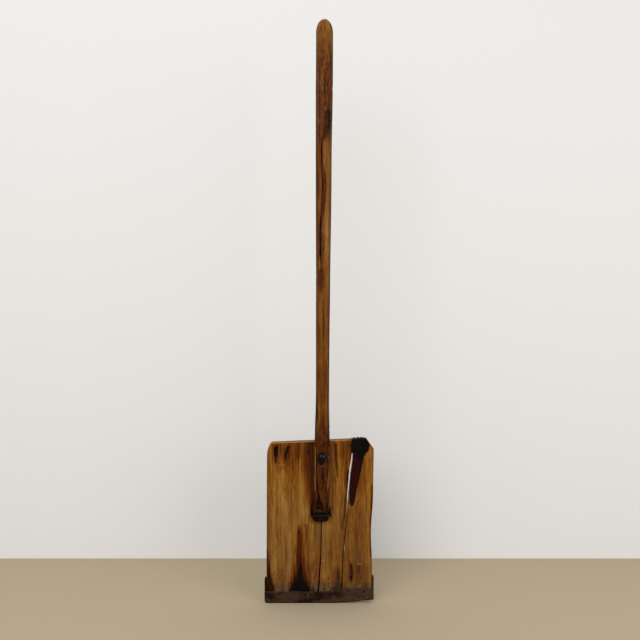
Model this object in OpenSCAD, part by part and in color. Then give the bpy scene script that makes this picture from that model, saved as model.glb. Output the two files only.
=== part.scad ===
// Flat wooden grain shovel, standing upright on its shod edge.
// X runs across the blade, -Y is the working front and Z runs up the handle.
// The origin is the middle of the shoe's lower edge. All lengths are in millimetres.

/* [Blade board] */
// Width of the board across its top corners
blade_w = 257; // [210:1:320]
// Height of the board, from its lower end to the middle of its top edge
blade_h = 388; // [330:1:470]
// Thickness of the board
board_t = 22; // [17:0.5:28]
// Thickness of the board at its lower end
edge_t = 10; // [8:0.5:14]
// Height of the bevel planed on the back, above the board's lower end
bevel_h = 150; // [110:1:170]
// Slope of the sawn top edge, in degrees
top_slope = 2.4; // [0:0.1:4]
// Width of the rounded left top corner
left_corner_w = 14; // [6:1:24]
// Height of the rounded left top corner
left_corner_h = 31; // [10:1:45]
// Width of the clipped right top corner
right_corner_w = 19; // [8:1:24]
// Height of the clipped right top corner
right_corner_h = 25; // [10:1:40]
// How much the left edge leans out towards the shoe
left_flare = 1.5; // [0:0.5:4]
// How much the right edge leans in towards the shoe
right_taper = 5.5; // [0:0.5:10]
// Depth of the hollow worn into the right edge
waist_wear = 4; // [0:0.5:7]
// Height of the middle of that hollow
waist_z = 172; // [165:1:200]
// Reach of that hollow above and below its middle
waist_reach = 88; // [50:1:92]
// Size of the worn arrises round both faces
arris = 1.8; // [0.6:0.2:3]

/* [Knot and splits] */
// Width of the hard knot at the right top corner
knot_d = 44; // [30:1:50]
// Distance of the knot's centre from the board's right edge
knot_in = 33; // [28:1:40]
// Depth of the knot's centre below the top edge
knot_down = 18.5; // [14:0.5:24]
// Height that the knot stands proud of both faces
knot_proud = 1.2; // [0.4:0.2:2]
// Height that the knot stands proud of the top edge
knot_rise = 3; // [0.5:0.5:5]
// Widest opening of the through split below the knot
split_w = 5.2; // [2:0.2:7]
// Length of the open part of that split
split_l = 160; // [100:1:170]
// Sideways run of the open split from its top to its lower end
split_run = 14; // [0:1:18]
// Width of the check below the handle where it meets the shoe
check_w = 4; // [1.5:0.5:5]
// Depth of the checks in the front face
check_depth = 5; // [3:0.5:6]

/* [Handle] */
// Length of the handle, from its foot to the top of its dome
handle_l = 1202; // [1000:1:1400]
// Diameter of the grip end
grip_d = 40.4; // [36:0.2:46]
// Length of the parallel grip below the dome
grip_l = 150; // [80:1:250]
// Diameter of the slender waist
waist_d = 31.6; // [28:0.2:34]
// Length of the parallel waist
waist_l = 110; // [60:1:160]
// Height of the waist's lower end above the board's top edge
waist_up = 96; // [70:1:130]
// Diameter of the pole where it meets the board
lap_d = 35.2; // [34:0.2:40]
// Height of the domed top
dome_h = 34; // [20:1:45]
// Tilt of the handle to the right, in degrees
lean = 0.35; // [0:0.05:0.8]

/* [Lap and foot] */
// Length of the lap on the board's front
lap_l = 192; // [175:1:215]
// How deep the pole's back is cut away to seat on the board
lap_inset = 8.5; // [6:0.5:11]
// Thickness of the lap at the bolt
lap_t = 20; // [17:0.5:23]
// Width of the lap below the bolt
lap_w = 34.4; // [30:0.2:36]
// Thickness of the foot under the staple
foot_t = 11.5; // [9:0.5:14]
// Width of the foot under the staple
foot_w = 38.4; // [36:0.2:46]
// Sideways swing of the foot to the left
foot_swing = 2; // [0:0.5:4]

/* [Bolt, washer and nut] */
// Diameter of the carriage bolt
bolt_d = 8; // [6:0.5:9.5]
// Diameter of its domed head
bolt_head_d = 19; // [16:0.5:22]
// Height of its domed head
bolt_head_h = 5; // [3:0.5:7]
// Depth of its square neck
neck_l = 6; // [4:0.5:9]
// Distance of the bolt below the board's top edge
bolt_down = 36; // [30:1:42]
// Distance of the bolt from the board's middle, to the right
bolt_x = 4; // [-2:0.5:8]
// Outside diameter of the washer
washer_d = 24; // [20:0.5:30]
// Thickness of the washer
washer_t = 1.8; // [1:0.2:3]
// Width across the flats of the square nut
nut_w = 14.3; // [13:0.1:18]
// Thickness of the square nut
nut_t = 7; // [5:0.5:9]
// Length of bolt that shows past the nut
bolt_past = 4; // [1:0.5:8]

/* [Staple and nails] */
// Diameter of the staple's iron rod
staple_d = 6; // [4:0.5:7]
// Height of the staple above the end of the foot
staple_up = 15.5; // [13:0.5:20]
// Length of each clinched leg end on the back
clinch_l = 14; // [9:1:15]
// Diameter of the foot nails
foot_nail_d = 3.2; // [2:0.2:4]
// Diameter of the foot nails' heads
foot_head_d = 7.6; // [5.5:0.2:8.6]
// Length of the foot nails' points, bent over on the back
foot_point_l = 9; // [5:1:10]
// Diameter of the lip nails
lip_nail_d = 3; // [2:0.2:4]
// Diameter of the lip nails' heads
lip_head_d = 7; // [5:0.2:9]
// Diameter of the back nails
back_nail_d = 2.6; // [2:0.2:3.4]
// Diameter of the back nails' heads
back_head_d = 6.4; // [4.5:0.2:9]
// Number of back nails in the row
back_nails_n = 8; // [4:1:9]

/* [Shoe] */
// Thickness of the shoe's sheet iron
sheet_t = 2; // [1:0.2:3]
// Height of the front lip at its left end
lip_h = 28; // [24:0.5:36]
// Extra height of the front lip right of the split
lip_step = 8; // [0:0.5:10]
// Height of the back plate and the side ears
plate_h = 66; // [58:1:74]
// Gap that shrinking has left between the board's side edges and the ears
shrink_gap = 2.4; // [0.5:0.1:4]
// Height worn off the shoe's right lower corner
corner_wear = 8; // [0:0.5:10]
// Distance of the start of that wear from the middle
wear_start = 28; // [10:1:60]
// Radius of the shoe's left lower corner
corner_r = 6; // [4:0.5:10]
// Rise of the plate's top edge from the middle to a point one board's width away
plate_rise = 5; // [0:0.5:6]

/* [Hidden] */
$fn = 48;

// Clearances round the iron where it passes wood, and round the bolt in its washer and nut
wood_gap = 0.15;
bolt_gap = 0.25;
// How far a bent point or leg lies off the board's back
bend_gap = 0.3;
// How far a cut runs past what it cuts
past = 1;
tiny = 0.01;

oak = "#77501f";
ash = "#5f3a17";
iron = "#332a22";
rust = "#47352b";

half_w = blade_w / 2;
board_low = sheet_t;
board_top = board_low + blade_h;
front_y = -edge_t / 2;
back_y = front_y + board_t;
bevel_a = atan((board_t - edge_t) / bevel_h);
right_corner_z = top_z(half_w) - right_corner_h;
pole_y = front_y - (lap_d / 2 - lap_inset);
bolt_z = board_top - bolt_down;
foot_z = board_top - lap_l;
handle_top = foot_z + handle_l;
staple_z = foot_z + staple_up;
shoe_left = -half_w - left_flare - shrink_gap;
shoe_right = right_x(plate_h) + shrink_gap;

// Eases from 0 to 1 as t runs from 0 to 1
function ease(t) = let(c = min(max(t, 0), 1)) c * c * (3 - 2 * c);

// Joins rings of equally many points into one closed skin; each ring turns with the
// right hand about the way that the rings are stacked
module loft(rings) {
    n = len(rings[0]);
    last = (len(rings) - 1) * n;
    sides = [for (k = [0:len(rings) - 2]) for (i = [0:n - 1])
        let(a = k * n + i, b = k * n + (i + 1) % n)
        each [[a, a + n, b + n], [a, b + n, b]]];
    polyhedron(points = [for (ring = rings) each ring],
               faces = concat([[for (i = [0:n - 1]) i]], sides, [[for (i = [n - 1:-1:0]) last + i]]));
}

// A rod along +Y from a start to an end depth
module rod_y(d, y0, y1) {
    translate([0, y0, 0]) rotate([-90, 0, 0]) cylinder(d = d, h = y1 - y0);
}

// The straight sides of the board in the front view
function left_x(z) = -half_w - left_flare * (1 - z / board_top);
function worn(z) = abs(z - waist_z) < waist_reach ? pow(cos(90 * (z - waist_z) / waist_reach), 2) : 0;
function right_x(z) = half_w - right_taper * (1 - z / right_corner_z) - waist_wear * worn(z);
function top_z(x) = board_top + x * tan(top_slope);

// The shoe's lower edge: level, then worn away towards the right corner
function low_z(x) = corner_wear * pow(max(0, x - wear_start) / (half_w - wear_start), 1.2);

// The board's outline, clockwise as the front view shows it, from the left top corner
function blade_outline() =
    let(cx = -half_w + left_corner_w,
        cz = top_z(cx) - left_corner_h,
        corner = [for (a = [0:15:90]) [cx - left_corner_w * cos(a), cz + left_corner_h * sin(a)]],
        clip = [[half_w - right_corner_w, top_z(half_w - right_corner_w)]],
        side_low = board_low + low_z(right_x(board_low)),
        side = [for (t = [0:1 / 18:1.001]) let(z = right_corner_z + (side_low - right_corner_z) * t)
            [right_x(z), z]],
        under = [for (t = [1 / 8:1 / 8:1.001])
            let(x = right_x(side_low) + (wear_start - right_x(side_low)) * t)
            [x, board_low + low_z(x)]])
    concat(corner, clip, side, under, [[left_x(board_low), board_low]]);

// The outline drawn in by a small step, at one depth of the board
function blade_ring(step, y) =
    let(mid_z = board_low + blade_h / 2, kx = 1 - 2 * step / blade_w, kz = 1 - 2 * step / blade_h)
    [for (p = blade_outline()) [p.x * kx, y, mid_z + (p.y - mid_z) * kz]];

module blade_blank() {
    difference() {
        loft([blade_ring(arris, front_y), blade_ring(arris * 0.3, front_y + arris * 0.3),
              blade_ring(0, front_y + arris), blade_ring(0, back_y - arris),
              blade_ring(arris * 0.3, back_y - arris * 0.3), blade_ring(arris, back_y)]);
        translate([0, front_y + edge_t, board_low])
            rotate([-bevel_a, 0, 0])
                translate([-blade_w, 0, -board_t])
                    cube([2 * blade_w, board_t, bevel_h / cos(bevel_a) + 2 * board_t]);
    }
}

// Draws a shape of the front view through the board, from a depth in front of it to one behind it
module through(y0, y1) {
    translate([0, y1, 0]) rotate([90, 0, 0]) linear_extrude(y1 - y0) children();
}

// A knot is a branch that runs through the board, so it shows on both faces and on the top edge.
// It is squarish, a little uneven, and cut off level with the board's clipped corner.
knot_x = half_w - knot_in;
knot_z = top_z(knot_x) - knot_down;
module knot() {
    knot_outline = [for (a = [0:10:350])
        let(r = knot_d / 2 * (1.09 - 0.09 * cos(4 * a) + 0.02 * sin(7 * a) + 0.015 * sin(11 * a)))
        [knot_x + r * cos(a), knot_z + r * sin(a)]];
    intersection() {
        through(front_y - knot_proud, back_y + knot_proud) polygon(knot_outline);
        through(front_y - board_t, back_y + board_t)
            translate([0, knot_rise]) polygon(blade_outline());
    }
}

// The open split starts a little inside the knot's lower left corner, drifts left with the
// grain and closes to a point
split_in = 4;
split_up = 7;
split_top_x = knot_x - knot_d / 2 + split_in;
split_top_z = knot_z - knot_d / 2 + split_up;
split_low_x = split_top_x - split_run;
split_low_z = split_top_z - split_l;
function split_mid(t) = split_top_x - split_run * (1 - pow(1 - t, 1.6));
function split_half(t) = split_w / 2 * pow(sin(180 * pow(min(max(t, 0), 1), 0.55)), 0.6) * (1 - 0.35 * t);
module open_split() {
    steps = [for (t = [0:1 / 14:1.001]) t];
    left = [for (t = steps) [split_mid(t) - split_half(t) - tiny, split_top_z - split_l * t]];
    right = [for (i = [len(steps) - 1:-1:0])
        [split_mid(steps[i]) + split_half(steps[i]) + tiny, split_top_z - split_l * steps[i]]];
    through(front_y - past, back_y + past) polygon(concat(left, right));
}

// A check in the front face, as a thin wedge from one point to another, each [x, z, width]
module check(from, to) {
    through(front_y - past, front_y + check_depth)
        polygon([[from.x - from.z / 2, from.y], [from.x + from.z / 2, from.y],
                 [to.x + to.z / 2, to.y], [to.x - to.z / 2, to.y]]);
}

// Below the open split the crack goes on as a fine check into the shoe, and a wider one
// runs from the handle's foot to the shoe
crack_bend = [split_low_x - 8, 0.68 * split_low_z, 1.6];
crack_end = [split_low_x - 13, board_low - past, 2.2];
foot_check_top = [bolt_x - 1, foot_z + 12, 1.4];
foot_check_bend = [bolt_x - 3, 0.6 * foot_z, 2.4];
foot_check_end = [bolt_x - 10, board_low - past, check_w];

// Leans what belongs to the handle about the bolt's axis
module leaned() {
    translate([bolt_x, 0, bolt_z]) rotate([0, lean, 0]) children();
}

module blade() {
    color(oak)
        difference() {
            union() {
                blade_blank();
                knot();
            }
            open_split();
            check([split_low_x, split_low_z + 4, 1], crack_bend);
            check(crack_bend, crack_end);
            check(foot_check_top, foot_check_bend);
            check(foot_check_bend, foot_check_end);
            leaned() rod_y(bolt_d + 2 * bolt_gap, front_y - past, back_y + past);
            leaned() staple_legs(staple_d + 2 * wood_gap);
            leaned() at_foot_nails() rod_y(foot_nail_d + 2 * wood_gap, front_y - past, back_y + past);
            at_lip_nails() rod_y(lip_nail_d + 2 * wood_gap, front_y - past, back_y);
            at_back_nails() rod_y(back_nail_d + 2 * wood_gap, -board_t, past);
        }
}

// Heights and widths of the handle, measured from the bolt along the handle
lap_top = bolt_down + 10;
waist_low = bolt_down + waist_up;
waist_high = waist_low + waist_l;
grip_high = handle_top - bolt_z - dome_h;
grip_low = grip_high - grip_l;
foot_low = foot_z - bolt_z;
runout_l = 26;
foot_round = 9;

function pole_r(h) =
    h > grip_high ? grip_d / 2 * sqrt(max(0, 1 - pow((h - grip_high) / dome_h, 2)))
    : h > waist_high ? (waist_d + (grip_d - waist_d) * min(1, (h - waist_high) / (grip_low - waist_high))) / 2
    : (waist_d + (lap_d - waist_d) * ease((waist_low - h) / (waist_low - lap_top))) / 2;
// 0 on the pole, 1 on the flat-fronted lap
function flatness(h) = ease((lap_top - h) / runout_l);
// 0 at the bolt, 1 at the staple
function footness(h) = ease((-bolt_head_d - h) / (-bolt_head_d - (foot_low + staple_up + 12)));
// Rounds the foot's blunt end off, 1 above it
function foot_end(h) = pow(max(0.01, 1 - pow(max(0, foot_low + foot_round - h) / foot_round, 2.4)), 1 / 2.4);
function lap_half(h) = (lap_w + (foot_w - lap_w) * footness(h)) / 2 * (0.5 + 0.5 * foot_end(h));
function lap_depth(h) = (lap_t + (foot_t - lap_t) * footness(h)) * (0.5 + 0.5 * foot_end(h));
function handle_x(h) = -foot_swing * footness(h);

// One cross-section: a circle on the pole, a round-cornered bar on the lap
function handle_ring(h) =
    let(f = flatness(h), r = pole_r(h),
        w = r + (lap_half(h) - r) * f,
        y_front = (pole_y - r) * (1 - f) + (front_y - lap_depth(h)) * f,
        y_back = pole_y + r,
        c = min(w, (y_back - y_front) / 2) * (1 - f) + min(5, w / 2) * f,
        m = 9, q = 90 / m)
    [for (k = [0:3]) for (i = [0:m - 1])
        let(a = 180 + 90 * k + q * (i + 0.5),
            cx = (k == 1 || k == 2) ? w - c : c - w,
            cy = (k < 2) ? y_front + c : y_back - c)
        [handle_x(h) + cx + c * cos(a), cy + c * sin(a), h]];

module pole() {
    end_steps = [for (a = [0:15:90]) foot_low + foot_round * (1 - cos(a))];
    lap_steps = [for (t = [1 / 12:1 / 12:0.95])
        foot_low + foot_round + (lap_top - runout_l - foot_low - foot_round) * t];
    run_steps = [for (t = [1:-1 / 6:-0.001]) lap_top - runout_l * t];
    swell_steps = [for (t = [1 / 7:1 / 7:1.001]) lap_top + (waist_low - lap_top) * t];
    long_steps = [waist_high, grip_low, grip_high];
    dome_steps = [for (a = [10:10:80]) grip_high + dome_h * sin(a)];
    tip_step = [grip_high + 0.998 * dome_h];
    steps = concat(end_steps, lap_steps, run_steps, swell_steps, long_steps, dome_steps, tip_step);
    loft([for (h = steps) handle_ring(h)]);
}

// The room that the board takes up, cut out of the pole's back
module lap_seat() {
    through(front_y, back_y + lap_d)
        polygon([[-half_w, 0], [half_w, 0], [half_w, top_z(half_w)], [-half_w, top_z(-half_w)]]);
}

module handle() {
    color(ash)
        difference() {
            leaned() pole();
            lap_seat();
            leaned() rod_y(bolt_d + 2 * bolt_gap, front_y - lap_t - lap_d, back_y);
            leaned() neck(bolt_d + 2 * wood_gap, neck_l + wood_gap);
            leaned() at_foot_nails() {
                rod_y(foot_nail_d + 2 * wood_gap, front_y - lap_t - past, back_y);
                rod_y(foot_head_d + 2 * wood_gap, front_y - lap_t - past, foot_head_y);
            }
        }
}

// The bolt runs along the handle's own Y axis; its head seats on the flat of the lap
module neck(w, l) {
    translate([-w / 2, front_y - lap_t - tiny, -w / 2]) cube([w, l + tiny, w]);
}

module domed_head(d, h) {
    r = (d * d / 4 + h * h) / (2 * h);
    intersection() {
        translate([0, r - h, 0]) rotate([90, 0, 0]) sphere(r = r, $fn = 96);
        rod_y(2 * r, -2 * h, 0);
    }
}

nut_y = back_y + washer_t;
module carriage_bolt() {
    color(iron)
        leaned()
            union() {
                translate([0, front_y - lap_t, 0]) domed_head(bolt_head_d, bolt_head_h);
                neck(bolt_d, neck_l);
                rod_y(bolt_d, front_y - lap_t, nut_y + nut_t + bolt_past);
            }
}

module bolt_washer() {
    color(iron)
        leaned()
            difference() {
                rod_y(washer_d, back_y, nut_y);
                rod_y(bolt_d + 2 * bolt_gap, back_y - past, nut_y + past);
            }
}

// A forged square nut, its outer corners taken off by a cone
module square_nut() {
    cone_d = 1.16 * nut_w;
    color(iron)
        leaned()
            difference() {
                intersection() {
                    translate([-nut_w / 2, nut_y, -nut_w / 2]) cube([nut_w, nut_t, nut_w]);
                    translate([0, nut_y, 0])
                        rotate([-90, 0, 0]) cylinder(d1 = cone_d + 2.4 * nut_t, d2 = cone_d, h = nut_t);
                }
                rod_y(bolt_d + 2 * wood_gap, nut_y - past, nut_y + nut_t + past);
            }
}

// A quarter bend of round rod, turning from +Y to +Z at the radius given
module bend(d, r) {
    translate([0, 0, r])
        rotate([0, 90, 0])
            rotate_extrude(angle = 90) translate([r, 0]) circle(d = d);
}

// Two nails close together through the foot, at heights above the staple's axis; the point of
// each is bent down the board's back
foot_nail_at = [[-6.8, 23.5], [-0.6, 17]];
foot_head_h = 1.8;
foot_head_y = front_y - foot_t - 0.4;
module at_foot_nails() {
    for (p = foot_nail_at) translate([p.x, 0, staple_z - bolt_z + p.y]) children();
}

module foot_nails() {
    turn_r = foot_nail_d / 2 + bend_gap;
    color(iron)
        leaned()
            at_foot_nails() {
                translate([0, foot_head_y, 0]) domed_head(foot_head_d, foot_head_h);
                rod_y(foot_nail_d, foot_head_y - tiny, back_y);
                translate([0, back_y, 0]) mirror([0, 0, 1]) bend(foot_nail_d, turn_r);
                translate([0, back_y + turn_r, -turn_r - foot_point_l])
                    cylinder(d1 = 0.4 * foot_nail_d, d2 = foot_nail_d, h = foot_point_l);
            }
}

// The staple's crown lies across the foot and turns into its legs through two quarter bends
staple_turn = staple_d / 2 + 2;
staple_half = foot_w / 2 + staple_d / 2 + wood_gap;
crown_y = front_y - foot_t - staple_d / 2;
module at_staple() {
    translate([-foot_swing, 0, staple_z - bolt_z]) children();
}

module staple_legs(d) {
    at_staple()
        for (side = [-1, 1])
            translate([side * staple_half, 0, 0]) rod_y(d, crown_y + staple_turn, back_y + past);
}

module heel_staple() {
    inner = staple_half - staple_turn;
    back_turn = staple_d / 2 + bend_gap;
    color(iron)
        leaned()
            at_staple() {
                translate([-inner, crown_y, 0]) rotate([0, 90, 0]) cylinder(d = staple_d, h = 2 * inner);
                for (side = [-1, 1]) {
                    translate([side * staple_half, 0, 0]) {
                        translate([0, crown_y + staple_turn, 0])
                            rotate([0, 0, 180])
                                rotate([0, side * 90, 0])
                                    bend(staple_d, staple_turn);
                        rod_y(staple_d, crown_y + staple_turn, back_y);
                        translate([0, back_y, 0])
                            rotate([0, -side * 90, 0])
                                bend(staple_d, back_turn);
                        translate([-side * back_turn, back_y + back_turn, 0])
                            rotate([0, -side * 90, 0])
                                cylinder(d1 = staple_d, d2 = 0.6 * staple_d, h = clinch_l);
                    }
                }
            }
}

// Height of the shoe before its upper edges are trimmed
blank_h = 1.4 * plate_h;

// The shoe's front outline, and the same drawn in by the sheet for the board's end inside it
function shoe_outline(step) =
    let(left = shoe_left - sheet_t + step,
        right = shoe_right + sheet_t - step,
        round_r = corner_r - step,
        corner = [for (a = [0:15:90]) [left + round_r * (1 - cos(a)), step + round_r * (1 - sin(a))]],
        worn_edge = [for (t = [0:1 / 8:1.001])
            let(x = wear_start + (right - wear_start) * t) [x, step + low_z(x)]])
    concat(corner, worn_edge, [[right, blank_h], [left, blank_h]]);

// Depth of the plane that lies off the board's bevel by a small step, at one height
function bevel_y(z, off) = front_y + edge_t + off / cos(bevel_a) + (z - board_low) * tan(bevel_a);

// The fold's section: a straight front, a lower edge that is rounded outside and square inside,
// and a back that follows the bevel
fold_r = 3;
module fold_section(step) {
    off = sheet_t - step;
    r = step == 0 ? fold_r : tiny;
    y0 = front_y - off;
    y1 = bevel_y(step + r, off);
    front_turn = [for (a = [0:15:90]) [y0 + r * (1 - cos(a)), step + r * (1 - sin(a))]];
    back_turn = [for (a = [90:-15:0]) [y1 - r * (1 - cos(a)), step + r * (1 - sin(a))]];
    upper = [[bevel_y(blank_h, off), blank_h], [y0, blank_h]];
    polygon(step == 0 ? concat(front_turn, back_turn, upper)
                      : concat([[y0, step], [bevel_y(step, off), step]], upper));
}

// The space inside the fold, or its outer form, between the two front outlines
module shoe_form(step) {
    intersection() {
        translate([-blade_w, 0, 0])
            rotate([90, 0, 90])
                linear_extrude(2 * blade_w)
                    fold_section(step);
        through(front_y - board_t, back_y + board_t) polygon(shoe_outline(step));
    }
}

// What lies above the plate and the ears, and above the front lip between the ears
module shoe_trim() {
    step_x = crack_end.x;
    through(front_y - board_t, back_y + board_t)
        polygon([[-blade_w, plate_h - plate_rise], [blade_w, plate_h + plate_rise],
                 [blade_w, 2 * blank_h], [-blade_w, 2 * blank_h]]);
    through(front_y - board_t, front_y)
        polygon([[shoe_left, lip_h], [step_x - lip_step, lip_h], [step_x + 3, lip_h + lip_step],
                 [shoe_right, lip_h + lip_step], [shoe_right, 2 * blank_h], [shoe_left, 2 * blank_h]]);
}

module edge_shoe() {
    color(rust)
        difference() {
            shoe_form(0);
            shoe_form(sheet_t);
            shoe_trim();
            at_lip_nails() rod_y(lip_nail_d + 2 * wood_gap, -board_t, board_t);
            at_back_nails() rod_y(back_nail_d + 2 * wood_gap, -past, 2 * sheet_t);
        }
}

// Four nails in the lip, most of them at one distance below its upper edge
lip_nail_down = 7.3;
lip_head_h = 1.6;
lip_nail_at = [[shoe_left + 14, lip_h - lip_nail_down], [-36, lip_h - lip_nail_down],
               [18, lip_h - 1.4 * lip_nail_down], [shoe_right - 22, lip_h + lip_step - lip_nail_down]];
module at_lip_nails() {
    for (p = lip_nail_at) translate([p.x, 0, p.y]) children();
}

module lip_nails() {
    color(rust)
        at_lip_nails() {
            translate([0, front_y - sheet_t, 0]) domed_head(lip_head_d, lip_head_h);
            rod_y(lip_nail_d, front_y - sheet_t - tiny, bevel_y(lip_h, sheet_t));
        }
}

// A row of nails driven square through the back plate, each a little off its even place; their
// points stand out of the front face by a hair
nail_slip = [1, 3, 3, 1, 8, 6, 5, 2];
back_nail_in = 29;
back_nail_z = plate_h - 6;
back_head_h = 1.4;
nail_show = 0.4;
module at_back_nails() {
    first = -half_w + back_nail_in;
    pitch = (right_x(back_nail_z) - back_nail_in - first) / (back_nails_n - 1);
    for (i = [0:back_nails_n - 1])
        translate([first + i * pitch + nail_slip[i % len(nail_slip)],
                   front_y + edge_t + (back_nail_z - board_low) * tan(bevel_a), back_nail_z])
            rotate([-bevel_a, 0, 0])
                children();
}

module back_nails() {
    point_l = (edge_t + (back_nail_z - board_low) * tan(bevel_a)) * cos(bevel_a);
    color(rust)
        at_back_nails() {
            rod_y(back_nail_d, -point_l - nail_show, sheet_t + tiny);
            translate([0, sheet_t, 0]) mirror([0, 1, 0]) domed_head(back_head_d, back_head_h);
        }
}

blade();
handle();
carriage_bolt();
bolt_washer();
square_nut();
foot_nails();
heel_staple();
edge_shoe();
lip_nails();
back_nails();
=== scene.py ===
"""The looks of an old wooden grain shovel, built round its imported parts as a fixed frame.

Every piece is a surface worked out in millimetres on a grid and put into a mesh in metres. X runs
across the board, -Y is the working front and Z runs up the handle from the shoe's lower edge. In the
functions s holds every size and place in millimetres, and x, y and z are arrays over a grid. Noise takes
lengths divided by the size of its cells, and then a seed of its own.
"""

from types import SimpleNamespace

import bpy
import numpy as np
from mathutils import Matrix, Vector


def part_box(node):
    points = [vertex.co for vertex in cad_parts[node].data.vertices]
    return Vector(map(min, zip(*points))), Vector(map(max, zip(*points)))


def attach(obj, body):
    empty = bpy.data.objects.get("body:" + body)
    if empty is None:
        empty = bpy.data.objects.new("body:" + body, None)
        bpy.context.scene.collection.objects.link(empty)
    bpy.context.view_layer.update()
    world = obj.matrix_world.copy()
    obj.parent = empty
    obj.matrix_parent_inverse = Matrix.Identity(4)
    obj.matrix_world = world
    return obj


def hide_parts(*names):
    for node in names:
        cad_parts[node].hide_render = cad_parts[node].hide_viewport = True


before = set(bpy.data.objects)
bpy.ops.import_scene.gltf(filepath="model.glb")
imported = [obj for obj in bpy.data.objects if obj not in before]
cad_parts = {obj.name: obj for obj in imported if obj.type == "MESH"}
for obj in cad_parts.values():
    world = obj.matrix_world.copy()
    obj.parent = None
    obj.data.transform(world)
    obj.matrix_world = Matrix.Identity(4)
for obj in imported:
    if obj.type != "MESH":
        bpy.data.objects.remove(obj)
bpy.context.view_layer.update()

bl_info = {
    "name": "Old grain shovel",
    "version": (1, 0, 0),
    "blender": (4, 5, 0),
    "location": "3D View > Sidebar > Shovel",
    "description": "Builds an old wooden grain shovel: board, handle, irons and shoe",
    "category": "Add Mesh",
}

MM = 0.001
# The box of a piece and the box of the node that it stands for differ by no more than this, in mm
NEAR_MM = 4.0
# Inputs of a colour Mix node
MIX_A, MIX_B = 6, 7
# How much of a streaky pattern is added to a mark, so that its edge frays along the grain
FRAY = 0.7


# Properties

def paint(code):
    """A hex sRGB colour as linear RGBA: ((c + 0.055) / 1.055) to the power 2.4, or c / 12.92 if dark."""
    c = np.array([int(code[k:k + 2], 16) for k in (1, 3, 5)]) / 255
    return (*np.where(c > 0.04045, ((c + 0.055) / 1.055) ** 2.4, c / 12.92), 1.0)


def length(name, millimetres, text):
    """A length property whose default is given in millimetres."""
    return bpy.props.FloatProperty(
        name=name, description=text, default=millimetres * MM, precision=5, unit="LENGTH")


def turn(name, degrees, text):
    """An angle property whose default is given in degrees."""
    return bpy.props.FloatProperty(
        name=name, description=text, default=np.radians(degrees), unit="ROTATION")


def colour(name, code, text):
    """A colour property whose default is given as a hex sRGB colour."""
    return bpy.props.FloatVectorProperty(
        name=name, description=text, default=paint(code), size=4, min=0, max=1, subtype="COLOR")


class ShovelBoard(bpy.types.PropertyGroup):
    """Sizes and colours of the board"""
    width: length("Width", 257, "Width across the top corners")
    height: length("Height", 388, "Height to the middle of the top edge")
    thickness: length("Thickness", 22, "Thickness above the bevel")
    edge: length("Edge thickness", 10, "Thickness at the lower end")
    bevel: length("Bevel height", 150, "Height of the bevel planed on the back")
    slope: turn("Top slope", 2.4, "Slope of the sawn top edge")
    left_corner_w: length("Left corner width", 14, "Width of the rounded left top corner")
    left_corner_h: length("Left corner height", 31, "Height of the rounded left top corner")
    right_corner_w: length("Right corner width", 19, "Width of the clipped right top corner")
    right_corner_h: length("Right corner height", 25, "Height of the clipped right top corner")
    left_flare: length("Left flare", 1.5, "How much the left edge leans out towards the shoe")
    right_taper: length("Right taper", 5.5, "How much the right edge leans in towards the shoe")
    waist_wear: length("Worn hollow", 4, "Depth of the hollow worn into the right edge")
    waist_z: length("Hollow height", 172, "Height of the middle of that hollow")
    waist_reach: length("Hollow reach", 88, "Reach of that hollow above and below its middle")
    arris: length("Arris", 1.8, "Size of the worn arrises")
    knot_d: length("Knot width", 44, "Width of the hard knot")
    knot_in: length("Knot inset", 33, "Distance of the knot's centre from the right edge")
    knot_down: length("Knot depth", 18.5, "Depth of the knot's centre below the top edge")
    knot_proud: length("Knot relief", 1.2, "Height that the knot stands proud of the faces")
    knot_rise: length("Knot rise", 3, "Height that the knot stands above the top edge")
    split_w: length("Split width", 5.2, "Widest opening of the through split")
    split_l: length("Split length", 160, "Length of the open part of the split")
    split_run: length("Split run", 14, "Sideways run of the open split")
    check_w: length("Check width", 4, "Width of the check below the handle at the shoe")
    check_depth: length("Check depth", 5, "Depth of the checks in the front face")
    grain: length("Grain relief", 0.22, "Height of the worn grain")
    darkest: colour("Darkest wood", "#190802", "Wood in the deepest streaks")
    dark: colour("Dark wood", "#4b2003", "Dark streaks and bands")
    brown: colour("Brown wood", "#703d08", "The board's middle brown")
    honey: colour("Honey wood", "#865819", "The clean, golden wood")
    pale: colour("Pale wood", "#a87d3e", "The palest streaks")
    # This black paints stains, and also painted shade in the checks, the split and the gaps round the handle
    # and its irons
    tar: colour("Black stain", "#0a0503", "Knot, burn and iron stain")
    resin: colour("Resin", "#250302", "The plum-red resin streak")
    bare: colour("Rubbed wood", "#a97c44", "Scratches and rubbed arrises")
    weathered: colour("Weathered wood", "#5d5138", "Grey, weathered wood")


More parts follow.
